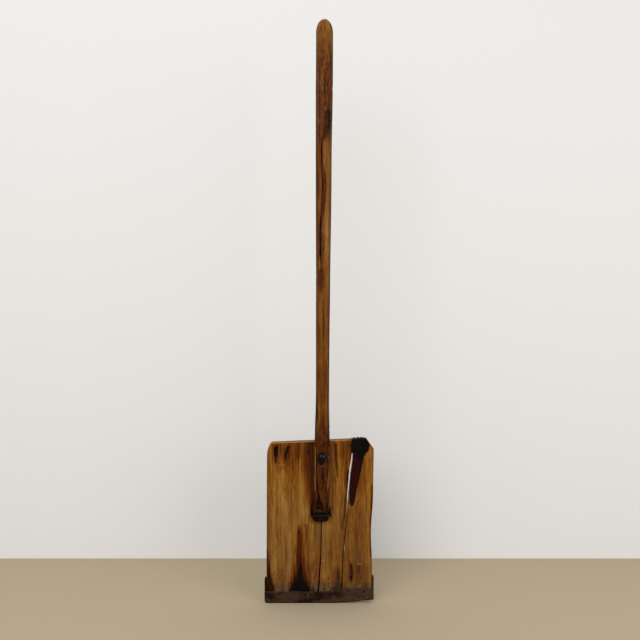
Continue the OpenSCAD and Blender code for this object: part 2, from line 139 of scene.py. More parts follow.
class ShovelHandle(bpy.types.PropertyGroup):
    """Sizes and colours of the handle"""
    total: length("Length", 1202, "Length from the foot to the top of the dome")
    grip_d: length("Grip diameter", 40.4, "Diameter of the grip end")
    grip_l: length("Grip length", 150, "Length of the parallel grip")
    waist_d: length("Waist diameter", 31.6, "Diameter of the slender waist")
    waist_l: length("Waist length", 110, "Length of the parallel waist")
    waist_up: length("Waist height", 96, "Height of the waist above the board")
    lap_d: length("Lower diameter", 35.2, "Diameter where the pole meets the board")
    dome_h: length("Dome height", 34, "Height of the domed top")
    lean: turn("Lean", 0.35, "Tilt to the right")
    lap_l: length("Lap length", 192, "Length of the lap on the board")
    lap_inset: length("Lap inset", 8.5, "How deep the back is cut away for the board")
    lap_t: length("Lap thickness", 20, "Thickness of the lap at the bolt")
    lap_w: length("Lap width", 34.4, "Width of the lap below the bolt")
    foot_t: length("Foot thickness", 11.5, "Thickness of the foot under the staple")
    foot_w: length("Foot width", 38.4, "Width of the foot under the staple")
    foot_swing: length("Foot swing", 2, "Sideways swing of the foot")
    # This colour also paints the shade inside the checks and under the foot
    darkest: colour("Darkest wood", "#120502", "Checks and deepest grime")
    dark: colour("Dark wood", "#431a02", "Wood of the lap and the grimy grip")
    brown: colour("Brown wood", "#633506", "The handle's middle brown")
    tan: colour("Tan wood", "#7d501d", "Cleaner wood above the middle")
    pale: colour("Pale wood", "#99754a", "End grain of the dome and rubbed spots")


class ShovelIron(bpy.types.PropertyGroup):
    """Sizes and colours of the bolt, the staple and the nails"""
    bolt_d: length("Bolt diameter", 8, "Diameter of the carriage bolt")
    bolt_head_d: length("Bolt head diameter", 19, "Diameter of its domed head")
    bolt_head_h: length("Bolt head height", 5, "Height of its domed head")
    neck_l: length("Neck", 6, "Depth of the bolt's square neck")
    bolt_down: length("Bolt depth", 36, "Distance of the bolt below the board's top edge")
    bolt_x: length("Bolt offset", 4, "Distance of the bolt from the board's middle")
    washer_d: length("Washer diameter", 24, "Outside diameter of the washer")
    washer_t: length("Washer thickness", 1.8, "Thickness of the washer")
    nut_w: length("Nut width", 14.3, "Width across the flats of the square nut")
    nut_t: length("Nut thickness", 7, "Thickness of the nut")
    bolt_past: length("Bolt end", 4, "Length of bolt past the nut")
    pitch: length("Thread pitch", 1.25, "Distance from thread to thread")
    staple_d: length("Staple rod", 6, "Diameter of the staple's rod")
    staple_up: length("Staple height", 15.5, "Height of the staple above the end of the foot")
    clinch_l: length("Clinch", 14, "Length of each clinched leg")
    foot_nail_d: length("Foot nail", 3.2, "Diameter of the foot nails")
    foot_head_d: length("Foot nail head", 7.6, "Diameter of their heads")
    foot_point_l: length("Foot nail point", 9, "Length of their bent points")
    lip_nail_d: length("Lip nail", 3, "Diameter of the lip nails")
    lip_head_d: length("Lip nail head", 7, "Diameter of their heads")
    back_nail_d: length("Back nail", 2.6, "Diameter of the back nails")
    back_head_d: length("Back nail head", 6.4, "Diameter of their heads")
    black: colour("Black iron", "#120f0c", "Forge scale on the irons")
    worn: colour("Worn iron", "#4b4843", "Rubbed high spots")
    rust: colour("Rust", "#27130a", "Rust in the hollows")


class ShovelShoe(bpy.types.PropertyGroup):
    """Sizes and colours of the shoe"""
    sheet: length("Sheet", 2, "Thickness of the sheet iron")
    lip_h: length("Lip height", 28, "Height of the front lip at its left end")
    lip_step: length("Lip step", 8, "Extra height of the lip right of the split")
    plate_h: length("Plate height", 66, "Height of the back plate and the ears")
    plate_rise: length("Plate rise", 5, "Rise of the plate's top edge over one board's width")
    gap: length("Gap", 2.4, "Gap between the board's edges and the ears")
    corner_wear: length("Corner wear", 8, "Height worn off the right lower corner")
    wear_start: length("Wear start", 28, "Distance of the start of that wear from the middle")
    corner_r: length("Corner radius", 6, "Radius of the left lower corner")
    fold_r: length("Fold radius", 3, "Radius of the folded lower edge")
    sheet_brown: colour("Sheet brown", "#301d13", "The sheet's even brown rust")
    sheet_grey: colour("Sheet grey", "#513c27", "Rubbed, greyer iron")
    sheet_red: colour("Sheet red", "#41180f", "Red rust in the middle of the lip")
    # This black also paints the shade along the lower fold
    sheet_black: colour("Sheet black", "#0e0705", "Pits and grime")


class ShovelStage(bpy.types.PropertyGroup):
    """The camera, the lamps and the backdrop"""
    distance: length("Distance", 1700, "Distance of the camera in front of the handle")
    eye: length("Eye height", 680.7, "Height of the camera above the floor")
    aside: length("View aside", -0.96, "Place of the camera across the board")
    picture: length("Picture width", 1532.8, "Width of the picture at the handle")
    sensor: length("Sensor", 36, "Width of the camera's sensor")
    behind: length("Backdrop distance", 314, "Distance of the backdrop behind the board")
    wall: colour("Backdrop", "#eaebec", "Colour of the backdrop")
    floor: colour("Floor", "#b7a88f", "Colour of the floor")


GROUPS = {"board": ShovelBoard, "handle": ShovelHandle, "iron": ShovelIron,
          "shoe": ShovelShoe, "stage": ShovelStage}


def in_mm(group):
    """A settings group with its lengths in millimetres and its colours as plain tuples."""
    values = {}
    for prop in group.bl_rna.properties:
        if prop.identifier in ("rna_type", "name"):
            continue
        value = getattr(group, prop.identifier)
        if prop.is_array:
            value = tuple(value)
        values[prop.identifier] = value / MM if prop.unit == "LENGTH" else value
    return SimpleNamespace(**values)


# Where the split starts, from the left and from the lower side of the square round the knot
SPLIT_IN, SPLIT_UP = 4, 7
# How far left of the split's lower end the crack below it bends and ends
CRACK_BEND, CRACK_END = 8, 13
# How far the row of back nails lies below the plate's top edge
BACK_NAIL_DOWN = 6


def shovel_sizes(scene):
    """All settings in millimetres, with the places that follow from them. Heights of the handle's parts,
    from foot_low to grip_high, count along it from the bolt, and the others from the shoe's lower edge."""
    s = SimpleNamespace(**{name: in_mm(getattr(scene, "shovel_" + name)) for name in GROUPS})
    board, handle, iron, shoe = s.board, s.handle, s.iron, s.shoe
    s.half = board.width / 2
    s.low = shoe.sheet
    s.top = s.low + board.height
    s.front = -board.edge / 2
    s.back = s.front + board.thickness
    s.bevel_tan = (board.thickness - board.edge) / board.bevel
    s.right_corner_z = top_line(s, s.half) - board.right_corner_h
    s.knot_x = s.half - board.knot_in
    s.knot_z = top_line(s, s.knot_x) - board.knot_down
    s.split_x = s.knot_x - board.knot_d / 2 + SPLIT_IN
    s.split_z = s.knot_z - board.knot_d / 2 + SPLIT_UP
    s.split_end_x = s.split_x - board.split_run
    s.split_end_z = s.split_z - board.split_l
    s.crack_x = s.split_end_x - CRACK_END
    s.bolt_x = iron.bolt_x
    s.bolt_z = s.top - iron.bolt_down
    s.foot_z = s.top - handle.lap_l
    s.staple_z = s.foot_z + iron.staple_up
    s.foot_low = s.foot_z - s.bolt_z
    s.shoulder = s.top - s.bolt_z
    s.lap_top = s.shoulder + 10
    s.waist_low = s.shoulder + handle.waist_up
    s.waist_high = s.waist_low + handle.waist_l
    s.grip_high = s.foot_low + handle.total - handle.dome_h
    s.grip_low = s.grip_high - handle.grip_l
    s.pole_y = s.front - (handle.lap_d / 2 - handle.lap_inset)
    s.lap_y = s.front - handle.lap_t
    s.nut_y = s.back + iron.washer_t
    s.shoe_left = -s.half - board.left_flare - shoe.gap
    s.shoe_right = float(right_edge(s, shoe.plate_h)) + shoe.gap
    s.back_nail_z = shoe.plate_h - BACK_NAIL_DOWN
    return s


# Numbers on grids

def ease(t):
    """Smooth step: three t squared less two t cubed, with t held between 0 and 1."""
    t = np.clip(t, 0.0, 1.0)
    return t * t * (3 - 2 * t)


# Points along a side of the noise's table, after which it repeats
NOISE_SIZE = 128


def noise(u, v, seed):
    """Value noise from -1 to 1: seeded random heights at whole u and v, eased between the four round
    each point."""
    u, v = np.broadcast_arrays(np.asarray(u, float), np.asarray(v, float))
    table = np.random.default_rng(seed).uniform(-1, 1, (NOISE_SIZE, NOISE_SIZE))
    iu, iv = np.floor(u).astype(int), np.floor(v).astype(int)
    fu, fv = ease(u - iu), ease(v - iv)
    at = [[table[(iu + du) % NOISE_SIZE, (iv + dv) % NOISE_SIZE] for dv in (0, 1)] for du in (0, 1)]
    return ((1 - fu) * ((1 - fv) * at[0][0] + fv * at[0][1])
            + fu * ((1 - fv) * at[1][0] + fv * at[1][1]))


def rough(u, v, seed, octaves=3):
    """Noise with finer noise on it: each octave is twice as fine and half as strong."""
    return sum(noise(u * 2 ** k, v * 2 ** k, seed + k) / 2 ** k for k in range(octaves))


def stroke(x, z, path, soft):
    """A mark along the grain: 1 within the half width of a line through the path's points, each
    (x, z, half width), and easing to 0 over the soft width at the sides and twice that at the ends."""
    line = np.array(sorted(path, key=lambda point: point[1]), float)
    middle = np.interp(z, line[:, 1], line[:, 0])
    half = np.interp(z, line[:, 1], line[:, 2])
    side = ease(0.5 + (half - np.abs(x - middle)) / (2 * soft))
    ends = ease((z - line[0, 1]) / (4 * soft) + 0.5) * ease((line[-1, 1] - z) / (4 * soft) + 0.5)
    return side * ends


def spot(x, z, at, radii):
    """An oval mark: 1 up to half its radii, easing to 0 at one and a half times them."""
    return ease(1.5 - np.hypot((x - at[0]) / radii[0], (z - at[1]) / radii[1]))


def marked(x, z, marks):
    """The sum of named marks, each a strength, a soft width and a path."""
    return sum(strength * stroke(x, z, path, soft) for strength, soft, path in marks.values())


# Meshes

def grid_quads(index):
    """Quads between neighbours in a grid of vertex numbers, first along a row, then up a column."""
    return np.stack([index[:-1, :-1], index[:-1, 1:], index[1:, 1:], index[1:, :-1]], -1).reshape(-1, 4)


def skin(rings, poles=True):
    """A closed skin over rings of points: with poles each end closes on its ring's middle, and
    without them the last ring joins the first."""
    count, sides = rings.shape[:2]
    index = np.arange(count * sides).reshape(count, sides)
    index = np.concatenate([index, index[:, :1]], axis=1)
    if not poles:
        index = np.concatenate([index, index[:1]])
        return rings.reshape(-1, 3), grid_quads(index), np.empty((0, 3), int)
    first, last = count * sides, count * sides + 1
    points = np.concatenate([rings.reshape(-1, 3), [rings[0].mean(0), rings[-1].mean(0)]])
    start = np.stack([np.full(sides, first), index[0, 1:], index[0, :-1]], -1)
    end = np.stack([np.full(sides, last), index[-1, :-1], index[-1, 1:]], -1)
    return points, grid_quads(index), np.concatenate([start, end])


def joined(skins):
    """Several skins as one: their points in a row and their faces counted on."""
    starts = np.cumsum([0] + [len(points) for points, quads, tris in skins[:-1]])
    return (np.concatenate([points for points, quads, tris in skins]),
            np.concatenate([quads + start for (points, quads, tris), start in zip(skins, starts)]),
            np.concatenate([tris + start for (points, quads, tris), start in zip(skins, starts)]))


def volume(points, quads, tris):
    """Signed volume: a sixth of the sum of p0 . (p1 x p2) over all triangles."""
    faces = np.concatenate([quads[:, [0, 1, 2]], quads[:, [0, 2, 3]], tris])
    p = points[faces]
    return np.einsum("ij,ij->i", p[:, 0], np.cross(p[:, 1], p[:, 2])).sum() / 6


def make_piece(name, shape, material, node, marks=None, crease=35):
    """Puts a skin in millimetres into a mesh in metres, faces outwards, with marks as float
    attributes, and lets it stand for a node of the frame, whose box it has to match."""
    points, quads, tris = shape
    if volume(points, quads, tris) < 0:
        quads, tris = quads[:, ::-1], tris[:, ::-1]
    old = bpy.data.objects.get(name)
    if old:
        bpy.data.objects.remove(old)
    mesh = bpy.data.meshes.new(name)
    mesh.vertices.add(len(points))
    mesh.vertices.foreach_set("co", (points * MM).astype(np.float32).ravel())
    corners = np.concatenate([quads.ravel(), tris.ravel()]).astype(np.int32)
    mesh.loops.add(len(corners))
    mesh.loops.foreach_set("vertex_index", corners)
    mesh.polygons.add(len(quads) + len(tris))
    starts = np.concatenate([4 * np.arange(len(quads)), 4 * len(quads) + 3 * np.arange(len(tris))])
    mesh.polygons.foreach_set("loop_start", starts.astype(np.int32))
    mesh.update(calc_edges=True)
    if mesh.validate():
        raise RuntimeError(f"{name}: the mesh had faces that had to be mended")
    mesh.shade_smooth()
    mesh.set_sharp_from_angle(angle=np.radians(crease))
    for label, values in (marks or {}).items():
        attribute = mesh.attributes.new(label, "FLOAT", "POINT")
        attribute.data.foreach_set("value", values.astype(np.float32))
    mesh.materials.append(material)
    piece = bpy.data.objects.new(name, mesh)
    bpy.context.scene.collection.objects.link(piece)
    for low, high, corner in zip(points.min(0), points.max(0), zip(*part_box(node))):
        if max(abs(low - corner[0] / MM), abs(high - corner[1] / MM)) > NEAR_MM:
            raise RuntimeError(f"{name} is out of place: {low:.1f} to {high:.1f} against {corner}")
    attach(piece, "root")
    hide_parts(node)
    return piece


# Materials

def add(tree, kind, links=None, stops=(), out=None, **settings):
    """Adds a node, sets its properties, joins or sets its inputs and its colour stops, and returns
    the output that is asked for, or the first one in use."""
    node = tree.nodes.new(kind)
    for name, value in settings.items():
        setattr(node, name, value)
    for key, value in (links or {}).items():
        if isinstance(value, bpy.types.NodeSocket):
            tree.links.new(value, node.inputs[key])
        else:
            node.inputs[key].default_value = value
    for number, (place, shade) in enumerate(stops):
        ramp = node.color_ramp.elements
        stop = ramp[number] if number < len(ramp) else ramp.new(place)
        stop.position, stop.color = place, shade
    return node.outputs[out] if out else next((o for o in node.outputs if o.enabled), None)


def blank_material(name):
    """An empty material of that name, with its node tree."""
    material = bpy.data.materials.get(name) or bpy.data.materials.new(name)
    material.use_nodes = True
    material.node_tree.nodes.clear()
    return material, material.node_tree


def clouds(tree, place, size, detail):
    """Noise whose cells have a size in millimetres along X, Y and Z."""
    grown = add(tree, "ShaderNodeMapping", {"Vector": place, "Scale": [1 / (side * MM) for side in size]})
    return add(tree, "ShaderNodeTexNoise", {"Vector": grown, "Scale": 1.0, "Detail": detail}, out="Fac")


def streaks(tree, place, across, along, detail=3.0):
    """Noise drawn out along the grain: one cell is so many millimetres across and along."""
    return clouds(tree, place, (across, across, along), detail)


def swayed(tree, place, wave, shift):
    """The place moved sideways by slow noise, so that the grain wanders: wave and shift are in mm."""
    slow = (1 / (wave * MM), 1 / (wave * MM), 0.45 / (wave * MM))
    grown = add(tree, "ShaderNodeMapping", {"Vector": place, "Scale": slow})
    drift = add(tree, "ShaderNodeTexNoise", {"Vector": grown, "Scale": 1.0, "Detail": 1.5}, out="Color")
    return add(tree, "ShaderNodeVectorMath", {0: drift, 1: (shift * MM, shift * MM, 0), 2: place},
               operation="MULTIPLY_ADD")


def summed(tree, start, parts):
    """A start value plus each pattern times its weight."""
    total = start
    for pattern, weight in parts:
        total = add(tree, "ShaderNodeMath", {0: pattern, 1: weight, 2: total}, operation="MULTIPLY_ADD")
    return total


def frayed(tree, mask, fray, low, high):
    """A mark on the mesh whose edge is frayed by streaks: the sum of both, cut off softly between low and
    high. Both limits are moved up by the mean of the streaks, which is a half."""
    total = summed(tree, mask, [(fray, FRAY)])
    return add(tree, "ShaderNodeMapRange", {"Value": total, "From Min": low + FRAY / 2,
                                            "From Max": high + FRAY / 2},
               interpolation_type="SMOOTHSTEP", clamp=True)


def painted(tree, under, over, mask, fray, low, high):
    """One colour over another wherever a frayed mark shows."""
    share = frayed(tree, mask, fray, low, high)
    return add(tree, "ShaderNodeMix", {0: share, MIX_A: under, MIX_B: over}, data_type="RGBA")


def finish(tree, shade, gloss, relief, specular, metal=0.0):
    """Ends a material. The gloss is a pattern with its least and its most roughness, and the relief is a
    pattern with its strength and its depth in millimetres."""
    pattern, smooth, dull = gloss
    rough_by = add(tree, "ShaderNodeMapRange", {"Value": pattern, "From Min": 0.3, "From Max": 0.7,
                                                "To Min": smooth, "To Max": dull})
    height, strength, depth = relief
    bump = add(tree, "ShaderNodeBump", {"Height": height, "Strength": strength, "Distance": depth * MM})
    shader = add(tree, "ShaderNodeBsdfPrincipled", {
        "Base Color": shade, "Metallic": metal, "Roughness": rough_by, "Normal": bump,
        "Specular IOR Level": specular})
    add(tree, "ShaderNodeOutputMaterial", {"Surface": shader})


def waxed_pine_board(board):
    """Flat-sawn softwood, planed, worn smooth by grain and waxed: long wandering streaks from honey
    to dark brown, black stains and painted shade whose edges run out along the grain, a plum-red resin
    streak, pale rubbed arrises with a painted highlight along the top, and a dull satin shine."""
    material, tree = blank_material("waxed_sawn_pine")
    place = swayed(tree, add(tree, "ShaderNodeTexCoord", out="Object"), 70, 13)
    mask = {name: add(tree, "ShaderNodeAttribute", attribute_name=name, out="Fac")
            for name in ("tone", "tar", "resin", "bare", "weathered")}
    # Bands are some years' growth and rings are one year's. Real fibres are under 0.1 mm wide, and these
    # are drawn as coarse as the picture can show.
    bands = streaks(tree, place, 15, 620, 2.0)
    rings = streaks(tree, place, 4.6, 230)
    fine_rings = streaks(tree, place, 3.4, 60)
    fibres = streaks(tree, place, 1.5, 45)
    mottle = streaks(tree, place, 9, 26, 2.0)
    level = summed(tree, -0.41, [(bands, 0.40), (rings, 0.40), (fibres, 0.40), (mask["tone"], 0.22),
                                 (fine_rings, 0.50), (mottle, 0.25)])
    wood = add(tree, "ShaderNodeValToRGB", {0: level}, out="Color", stops=[
        (0.12, board.darkest), (0.32, board.dark), (0.50, board.brown), (0.66, board.honey),
        (0.92, board.pale)])
    # Short dark dashes are the resin ducts of pine, drawn several times as wide as real ones
    dashes = streaks(tree, place, 1.8, 13, 1.0)
    flecks = add(tree, "ShaderNodeMapRange", {"Value": dashes, "From Min": 0.40, "From Max": 0.30,
                                              "To Max": 0.55}, clamp=True)
    flecked = add(tree, "ShaderNodeMix", {0: flecks, MIX_A: wood, MIX_B: board.dark}, data_type="RGBA")
    grey = add(tree, "ShaderNodeMix", {0: mask["weathered"], MIX_A: flecked, MIX_B: board.weathered},
               data_type="RGBA")
    worn = painted(tree, grey, board.bare, mask["bare"], fibres, 0.25, 0.95)
    pitchy = painted(tree, worn, board.resin, mask["resin"], rings, 0.30, 0.95)
    stained = painted(tree, pitchy, board.tar, mask["tar"], rings, 0.28, 0.80)
    finish(tree, stained, (fibres, 0.42, 0.62), (fibres, 0.45, 0.4), 0.07)
    return material


def hand_polished_ash(handle):
    """Ring-porous hardwood, shaved round and polished by hands: long fine grain, brown grime that
    mottles the grip, near-black checks darkened with painted shade, painted shade on the sides and under the
    foot, pale arrises that are partly a painted highlight, and a soft, even shine."""
    material, tree = blank_material("hand_polished_ash")
    place = swayed(tree, add(tree, "ShaderNodeTexCoord", out="Object"), 60, 8)
    mask = {name: add(tree, "ShaderNodeAttribute", attribute_name=name, out="Fac")
            for name in ("tone", "tar", "bare", "grime")}
    # Rings as an ash pole's, and fibres drawn as coarse as the picture can show
    bands = streaks(tree, place, 9, 320, 2.0)
    rings = streaks(tree, place, 3.0, 120)
    fibres = streaks(tree, place, 1.3, 30)
    grime = streaks(tree, place, 3.6, 13)
    grimy = summed(tree, 0.35, [(mask["grime"], 0.45)])
    level = summed(tree, -0.30, [(bands, 0.45), (rings, 0.70), (fibres, 0.45), (mask["tone"], 0.30),
                                 (summed(tree, -0.5, [(grime, 1.0)]), grimy)])
    wood = add(tree, "ShaderNodeValToRGB", {0: level}, out="Color", stops=[
        (0.08, handle.darkest), (0.27, handle.dark), (0.48, handle.brown), (0.68, handle.tan),
        (0.95, handle.pale)])
    # Pale dashes are the rubbed rims of open pores, drawn several times as wide as real ones
    dashes = streaks(tree, place, 1.7, 7)
    specks = add(tree, "ShaderNodeMapRange", {"Value": dashes, "From Min": 0.58, "From Max": 0.70,
                                              "To Max": 0.42}, clamp=True)
    share = summed(tree, 0.15, [(mask["grime"], 0.85)])
    flecks = add(tree, "ShaderNodeMath", {0: specks, 1: share}, operation="MULTIPLY")
    flecked = add(tree, "ShaderNodeMix", {0: flecks, MIX_A: wood, MIX_B: handle.pale}, data_type="RGBA")
    worn = painted(tree, flecked, handle.pale, mask["bare"], fibres, 0.25, 0.95)
    stained = painted(tree, worn, handle.darkest, mask["tar"], rings, 0.30, 0.80)
    finish(tree, stained, (grime, 0.38, 0.56), (fibres, 0.35, 0.3), 0.07)
    return material


def forged_black_iron(iron):
    """Wrought iron, hammered hot and blackened: dark scale with a few rubbed spots that catch the
    light and dull rust in the hollows."""
    material, tree = blank_material("forged_black_iron")
    place = add(tree, "ShaderNodeTexCoord", out="Object")
    # Hammer marks are about 5 mm wide. The grit of forge scale is a few tenths and is drawn coarser.
    cloud = clouds(tree, place, (5, 5, 5), 4.0)
    grit = clouds(tree, place, (1.3, 1.3, 1.3), 3.0)
    scale = add(tree, "ShaderNodeValToRGB", {0: cloud}, out="Color", stops=[
        (0.36, iron.rust), (0.46, iron.black), (0.57, iron.black), (0.69, iron.worn)])
    metal = add(tree, "ShaderNodeMapRange", {"Value": cloud, "From Min": 0.38, "From Max": 0.56,
                                             "To Min": 0.3, "To Max": 0.95})
    finish(tree, scale, (grit, 0.28, 0.52), (grit, 0.6, 0.3), 0.15, metal)
    return material


def rusted_sheet_iron(shoe):
    """Rolled sheet iron, cut and folded by hand, under a tight skin of old rust: even brown with
    greyer rubbed patches, red rust where it stays damp, and black pits."""
    material, tree = blank_material("rusted_sheet_iron")
    place = add(tree, "ShaderNodeTexCoord", out="Object")
    mask = {name: add(tree, "ShaderNodeAttribute", attribute_name=name, out="Fac")
            for name in ("bare", "red", "grime")}
    # Patches drawn out by sliding grain, pits of a few millimetres, and grit drawn coarser than real
    patch = clouds(tree, place, (16 / 0.45, 16, 16), 4.0)
    pits = clouds(tree, place, (3.2, 3.2, 3.2), 4.0)
    grit = clouds(tree, place, (1.2, 1.2, 1.2), 2.0)
    brown = add(tree, "ShaderNodeValToRGB", {0: patch}, out="Color", stops=[
        (0.38, shoe.sheet_black), (0.48, shoe.sheet_brown), (0.63, shoe.sheet_grey)])
    paler = add(tree, "ShaderNodeMix", {0: mask["bare"], MIX_A: brown, MIX_B: shoe.sheet_grey},
                data_type="RGBA")
    rusty = painted(tree, paler, shoe.sheet_red, mask["red"], patch, 0.25, 1.25)
    holes = add(tree, "ShaderNodeMapRange", {"Value": pits, "From Min": 0.44, "From Max": 0.34},
                interpolation_type="SMOOTHSTEP", clamp=True)
    dirt = add(tree, "ShaderNodeMath", {0: frayed(tree, mask["grime"], pits, 0.25, 0.85), 1: holes},
               operation="MAXIMUM")
    black = add(tree, "ShaderNodeMix", {0: dirt, MIX_A: rusty, MIX_B: shoe.sheet_black}, data_type="RGBA")
    metal = add(tree, "ShaderNodeMapRange", {"Value": patch, "From Min": 0.48, "From Max": 0.66,
                                             "To Min": 0.1, "To Max": 0.7})
    finish(tree, black, (grit, 0.5, 0.78), (pits, 0.7, 0.5), 0.12, metal)
    return material


# The board

# Radius that softens the sawn corner at the right
CLIP_SOFT = 3
# How far the knot's heart lies right of the middle of its outline, and the spacing of its rings
KNOT_HEART, KNOT_RING = 1, 3.4
# How far the knot swells towards its four corners in front, as a share of its radius
KNOT_SQUARE = 0.09
# Height of the crack's bend as a share of that of the split's lower end
CRACK_BEND_UP = 0.68
# The split counts as shut where its half width is less
SHUT = 0.05
# The check below the foot at the shoe, at its bend and at its top, which lies so far above the foot's end:
# how far left of the bolt it is, and its half width as a share of the check's width
CHECK_TOP_UP = 12
CHECK_LEFT = (10, 3, 1)
CHECK_HALF = (0.5, 0.30, 0.18)


def left_edge(s, z):
    """The left edge leans out by the flare towards the shoe."""
    return -s.half - s.board.left_flare * (1 - z / s.top)


def right_edge(s, z):
    """The right edge leans in by the taper, less a hollow worn as a squared cosine."""
    board = s.board
    reach = np.clip(np.abs(z - board.waist_z) / board.waist_reach, 0, 1)
    worn = board.waist_wear * np.cos(np.pi / 2 * reach) ** 2
    return s.half - board.right_taper * (1 - z / s.right_corner_z) - worn


def worn_low(s, x):
    """Height worn off the lower edge: a power of the distance past the start of the wear."""
    shoe = s.shoe
    share = np.maximum(0, x - shoe.wear_start) / (s.half - shoe.wear_start)
    return shoe.corner_wear * share ** 1.2


def top_line(s, x):
    """The sawn top edge as a straight, sloping line."""
    return s.top + x * np.tan(s.board.slope)


def top_edge(s, x):
    """The top line less an elliptic left corner and a softened right clip, plus the knot's crumbly rise."""
    board = s.board
    t = np.clip((x + s.half) / board.left_corner_w, 0, 1)
    left = board.left_corner_h * (1 - np.sqrt(1 - (1 - t) ** 2))
    past = x - (s.half - board.right_corner_w)
    right = board.right_corner_h / board.right_corner_w * (past + np.hypot(past, CLIP_SOFT)) / 2
    on_knot = ease((board.knot_d / 2 - np.abs(x - s.knot_x - KNOT_HEART)) / 3)
    rise = board.knot_rise * on_knot * (0.6 + 0.4 * noise(x / 2.3, 0, 71))
    return top_line(s, x) - left - right + rise


def split_line(s, z):
    """The split's middle and half width. The open part drifts left and swells as a sine, the crack
    below it runs on to the shoe, and above it the line goes straight up."""
    board = s.board
    t = np.clip((s.split_z - z) / board.split_l, 0, 1)
    opened = s.split_x - board.split_run * (1 - (1 - t) ** 1.6)
    cracked = np.interp(z, [0, CRACK_BEND_UP * s.split_end_z, s.split_end_z],
                        [s.crack_x, s.split_end_x - CRACK_BEND, s.split_end_x])
    middle = np.where(z < s.split_end_z, cracked, opened)
    swell = np.sin(np.pi * t ** 0.55) ** 0.6 * (1 - 0.35 * t)
    ragged = 1 + 0.16 * noise(z / 5, 0, 72)
    half = board.split_w / 2 * np.where((t > 0) & (t < 1), swell, 0) * ragged
    return middle + 0.5 * noise(z / 9, 0, 73), np.where(half < SHUT, 0, half)


def check_line(s, z):
    """The check below the foot: its middle, half width and depth."""
    high = s.foot_z + CHECK_TOP_UP
    heights = [0, 0.6 * s.foot_z, high]
    middle = s.bolt_x - np.interp(z, heights, CHECK_LEFT)
    half = s.board.check_w * np.interp(z, heights, CHECK_HALF)
    depth = s.board.check_depth * ease((high - z) / 25)
    return middle + 0.4 * noise(z / 11, 0, 74), half * (1 + 0.25 * noise(z / 7, 0, 75)), depth


def knot_mask(s, x, z, square=KNOT_SQUARE):
    """1 on the knot, whose radius swells towards four corners by a share and wavers."""
    a = np.arctan2(z - s.knot_z, x - s.knot_x)
    swell = square * (1 - np.cos(4 * a)) + 0.03 * np.sin(7 * a) + 0.02 * np.sin(11 * a)
    radius = s.board.knot_d / 2 * (1 + swell)
    return ease((radius - np.hypot(x - s.knot_x, z - s.knot_z)) / 2.4 + 0.5)


# Distances of the grid's outer columns and rows from the board's edges
RIM = np.array([0, 0.4, 1.0, 1.9, 3.6, 7.0, 14.0])
# Half width of the crack's mouth
MOUTH = 1.1
LEFT_STEPS = (1, 1, 1, 1, 2, 4, 86, 2, 2, 40, 3)
RIGHT_STEPS = (3, 52, 4, 2, 1, 1, 1, 1)
# Depth below the top edge that the knot fills, where the grid's rows are closer
KNOT_ROWS = 62


def steps_between(counts):
    """Grid parameters that take so many even steps from each guide to the next."""
    return np.concatenate([*[k + np.arange(n) / n for k, n in enumerate(counts)], [len(counts)]])


def along_guides(guides, steps):
    """Each column lies straight between its two guides, at its own share of the way."""
    guides = np.stack(guides)
    k = np.minimum(steps.astype(int), len(guides) - 2)
    share, cols = steps - k, np.arange(len(steps))
    return (1 - share) * guides[k, :, cols].T + share * guides[k + 1, :, cols].T


def board_half_grid(s, rows, counts, guide):
    """One side of the split as a grid of x and z. A row lies at its share of the height between the
    lower and the top edge, and a column between the guides at that height."""
    steps = steps_between(counts)
    share = ((rows - s.low) / (s.top - s.low))[:, None]
    z = np.repeat(rows[:, None], len(steps), axis=1)
    for _ in range(3):
        x = along_guides(guide(z), steps)
        low = s.low + worn_low(s, x)
        z = low + share * (top_edge(s, x) - low)
    return x, z


def board_grid(s):
    """The board's x and z from edge to edge, and how many columns lie left of the split."""
    def left(z):
        check, check_half, _ = check_line(s, z)
        split, split_half = split_line(s, z)
        return [*[left_edge(s, z) + d for d in RIM], check - check_half, check, check + check_half,
                split - split_half - MOUTH, split - split_half]

    def right(z):
        split, split_half = split_line(s, z)
        return [split + split_half, split + split_half + MOUTH,
                *[right_edge(s, z) - d for d in RIM[::-1]]]

    rows = np.concatenate([s.low + RIM[:4], np.linspace(s.low + 4.5, s.top - KNOT_ROWS, 118),
                           np.linspace(s.top - KNOT_ROWS + 1.2, s.top - 3, 56), s.top - RIM[3::-1]])
    (xl, zl), (xr, zr) = (board_half_grid(s, rows, LEFT_STEPS, left),
                          board_half_grid(s, rows, RIGHT_STEPS, right))
    return np.concatenate([xl, xr], 1), np.concatenate([zl, zr], 1), xl.shape[1]


def edge_distance(s, x, z):
    """How far a point lies inside the board's outline, the least of four distances."""
    step = 0.2
    tilt = (top_edge(s, x + step) - top_edge(s, x - step)) / (2 * step)
    top = (top_edge(s, x) - z) / np.hypot(1, tilt)
    low = z - s.low - worn_low(s, x)
    return np.maximum(0, np.minimum.reduce([x - left_edge(s, z), right_edge(s, z) - x, top, low]))


def arris_depth(s, x, z, seed):
    """A quarter round along the outline: r less the root of r squared less (r - d) squared, where the
    radius wavers along the edge."""
    r = s.board.arris * (1 + 0.45 * rough(x / 30, z / 30, seed))
    inside = np.minimum(edge_distance(s, x, z), r)
    return r - np.sqrt(np.maximum(0, r ** 2 - (r - inside) ** 2))


def knot_relief(s, x, z, seed, square=KNOT_SQUARE):
    """The knot stands proud in worn rings, lumpy, and cracked along the zero lines of noise."""
    from_heart = np.hypot(x - s.knot_x - KNOT_HEART, 0.9 * (z - s.knot_z))
    rings = 0.22 * np.sin(2 * np.pi * from_heart / KNOT_RING + 1.6 * rough(x / 9, z / 9, seed + 8))
    lumps = s.board.knot_proud * (1 + 0.45 * rough(x / 6, z / 6, seed)) + rings
    cracks = 1.3 * ease(1 - np.abs(rough(x / 5, z / 7, seed + 4)) / 0.16)
    return knot_mask(s, x, z, square) * (lumps - cracks)


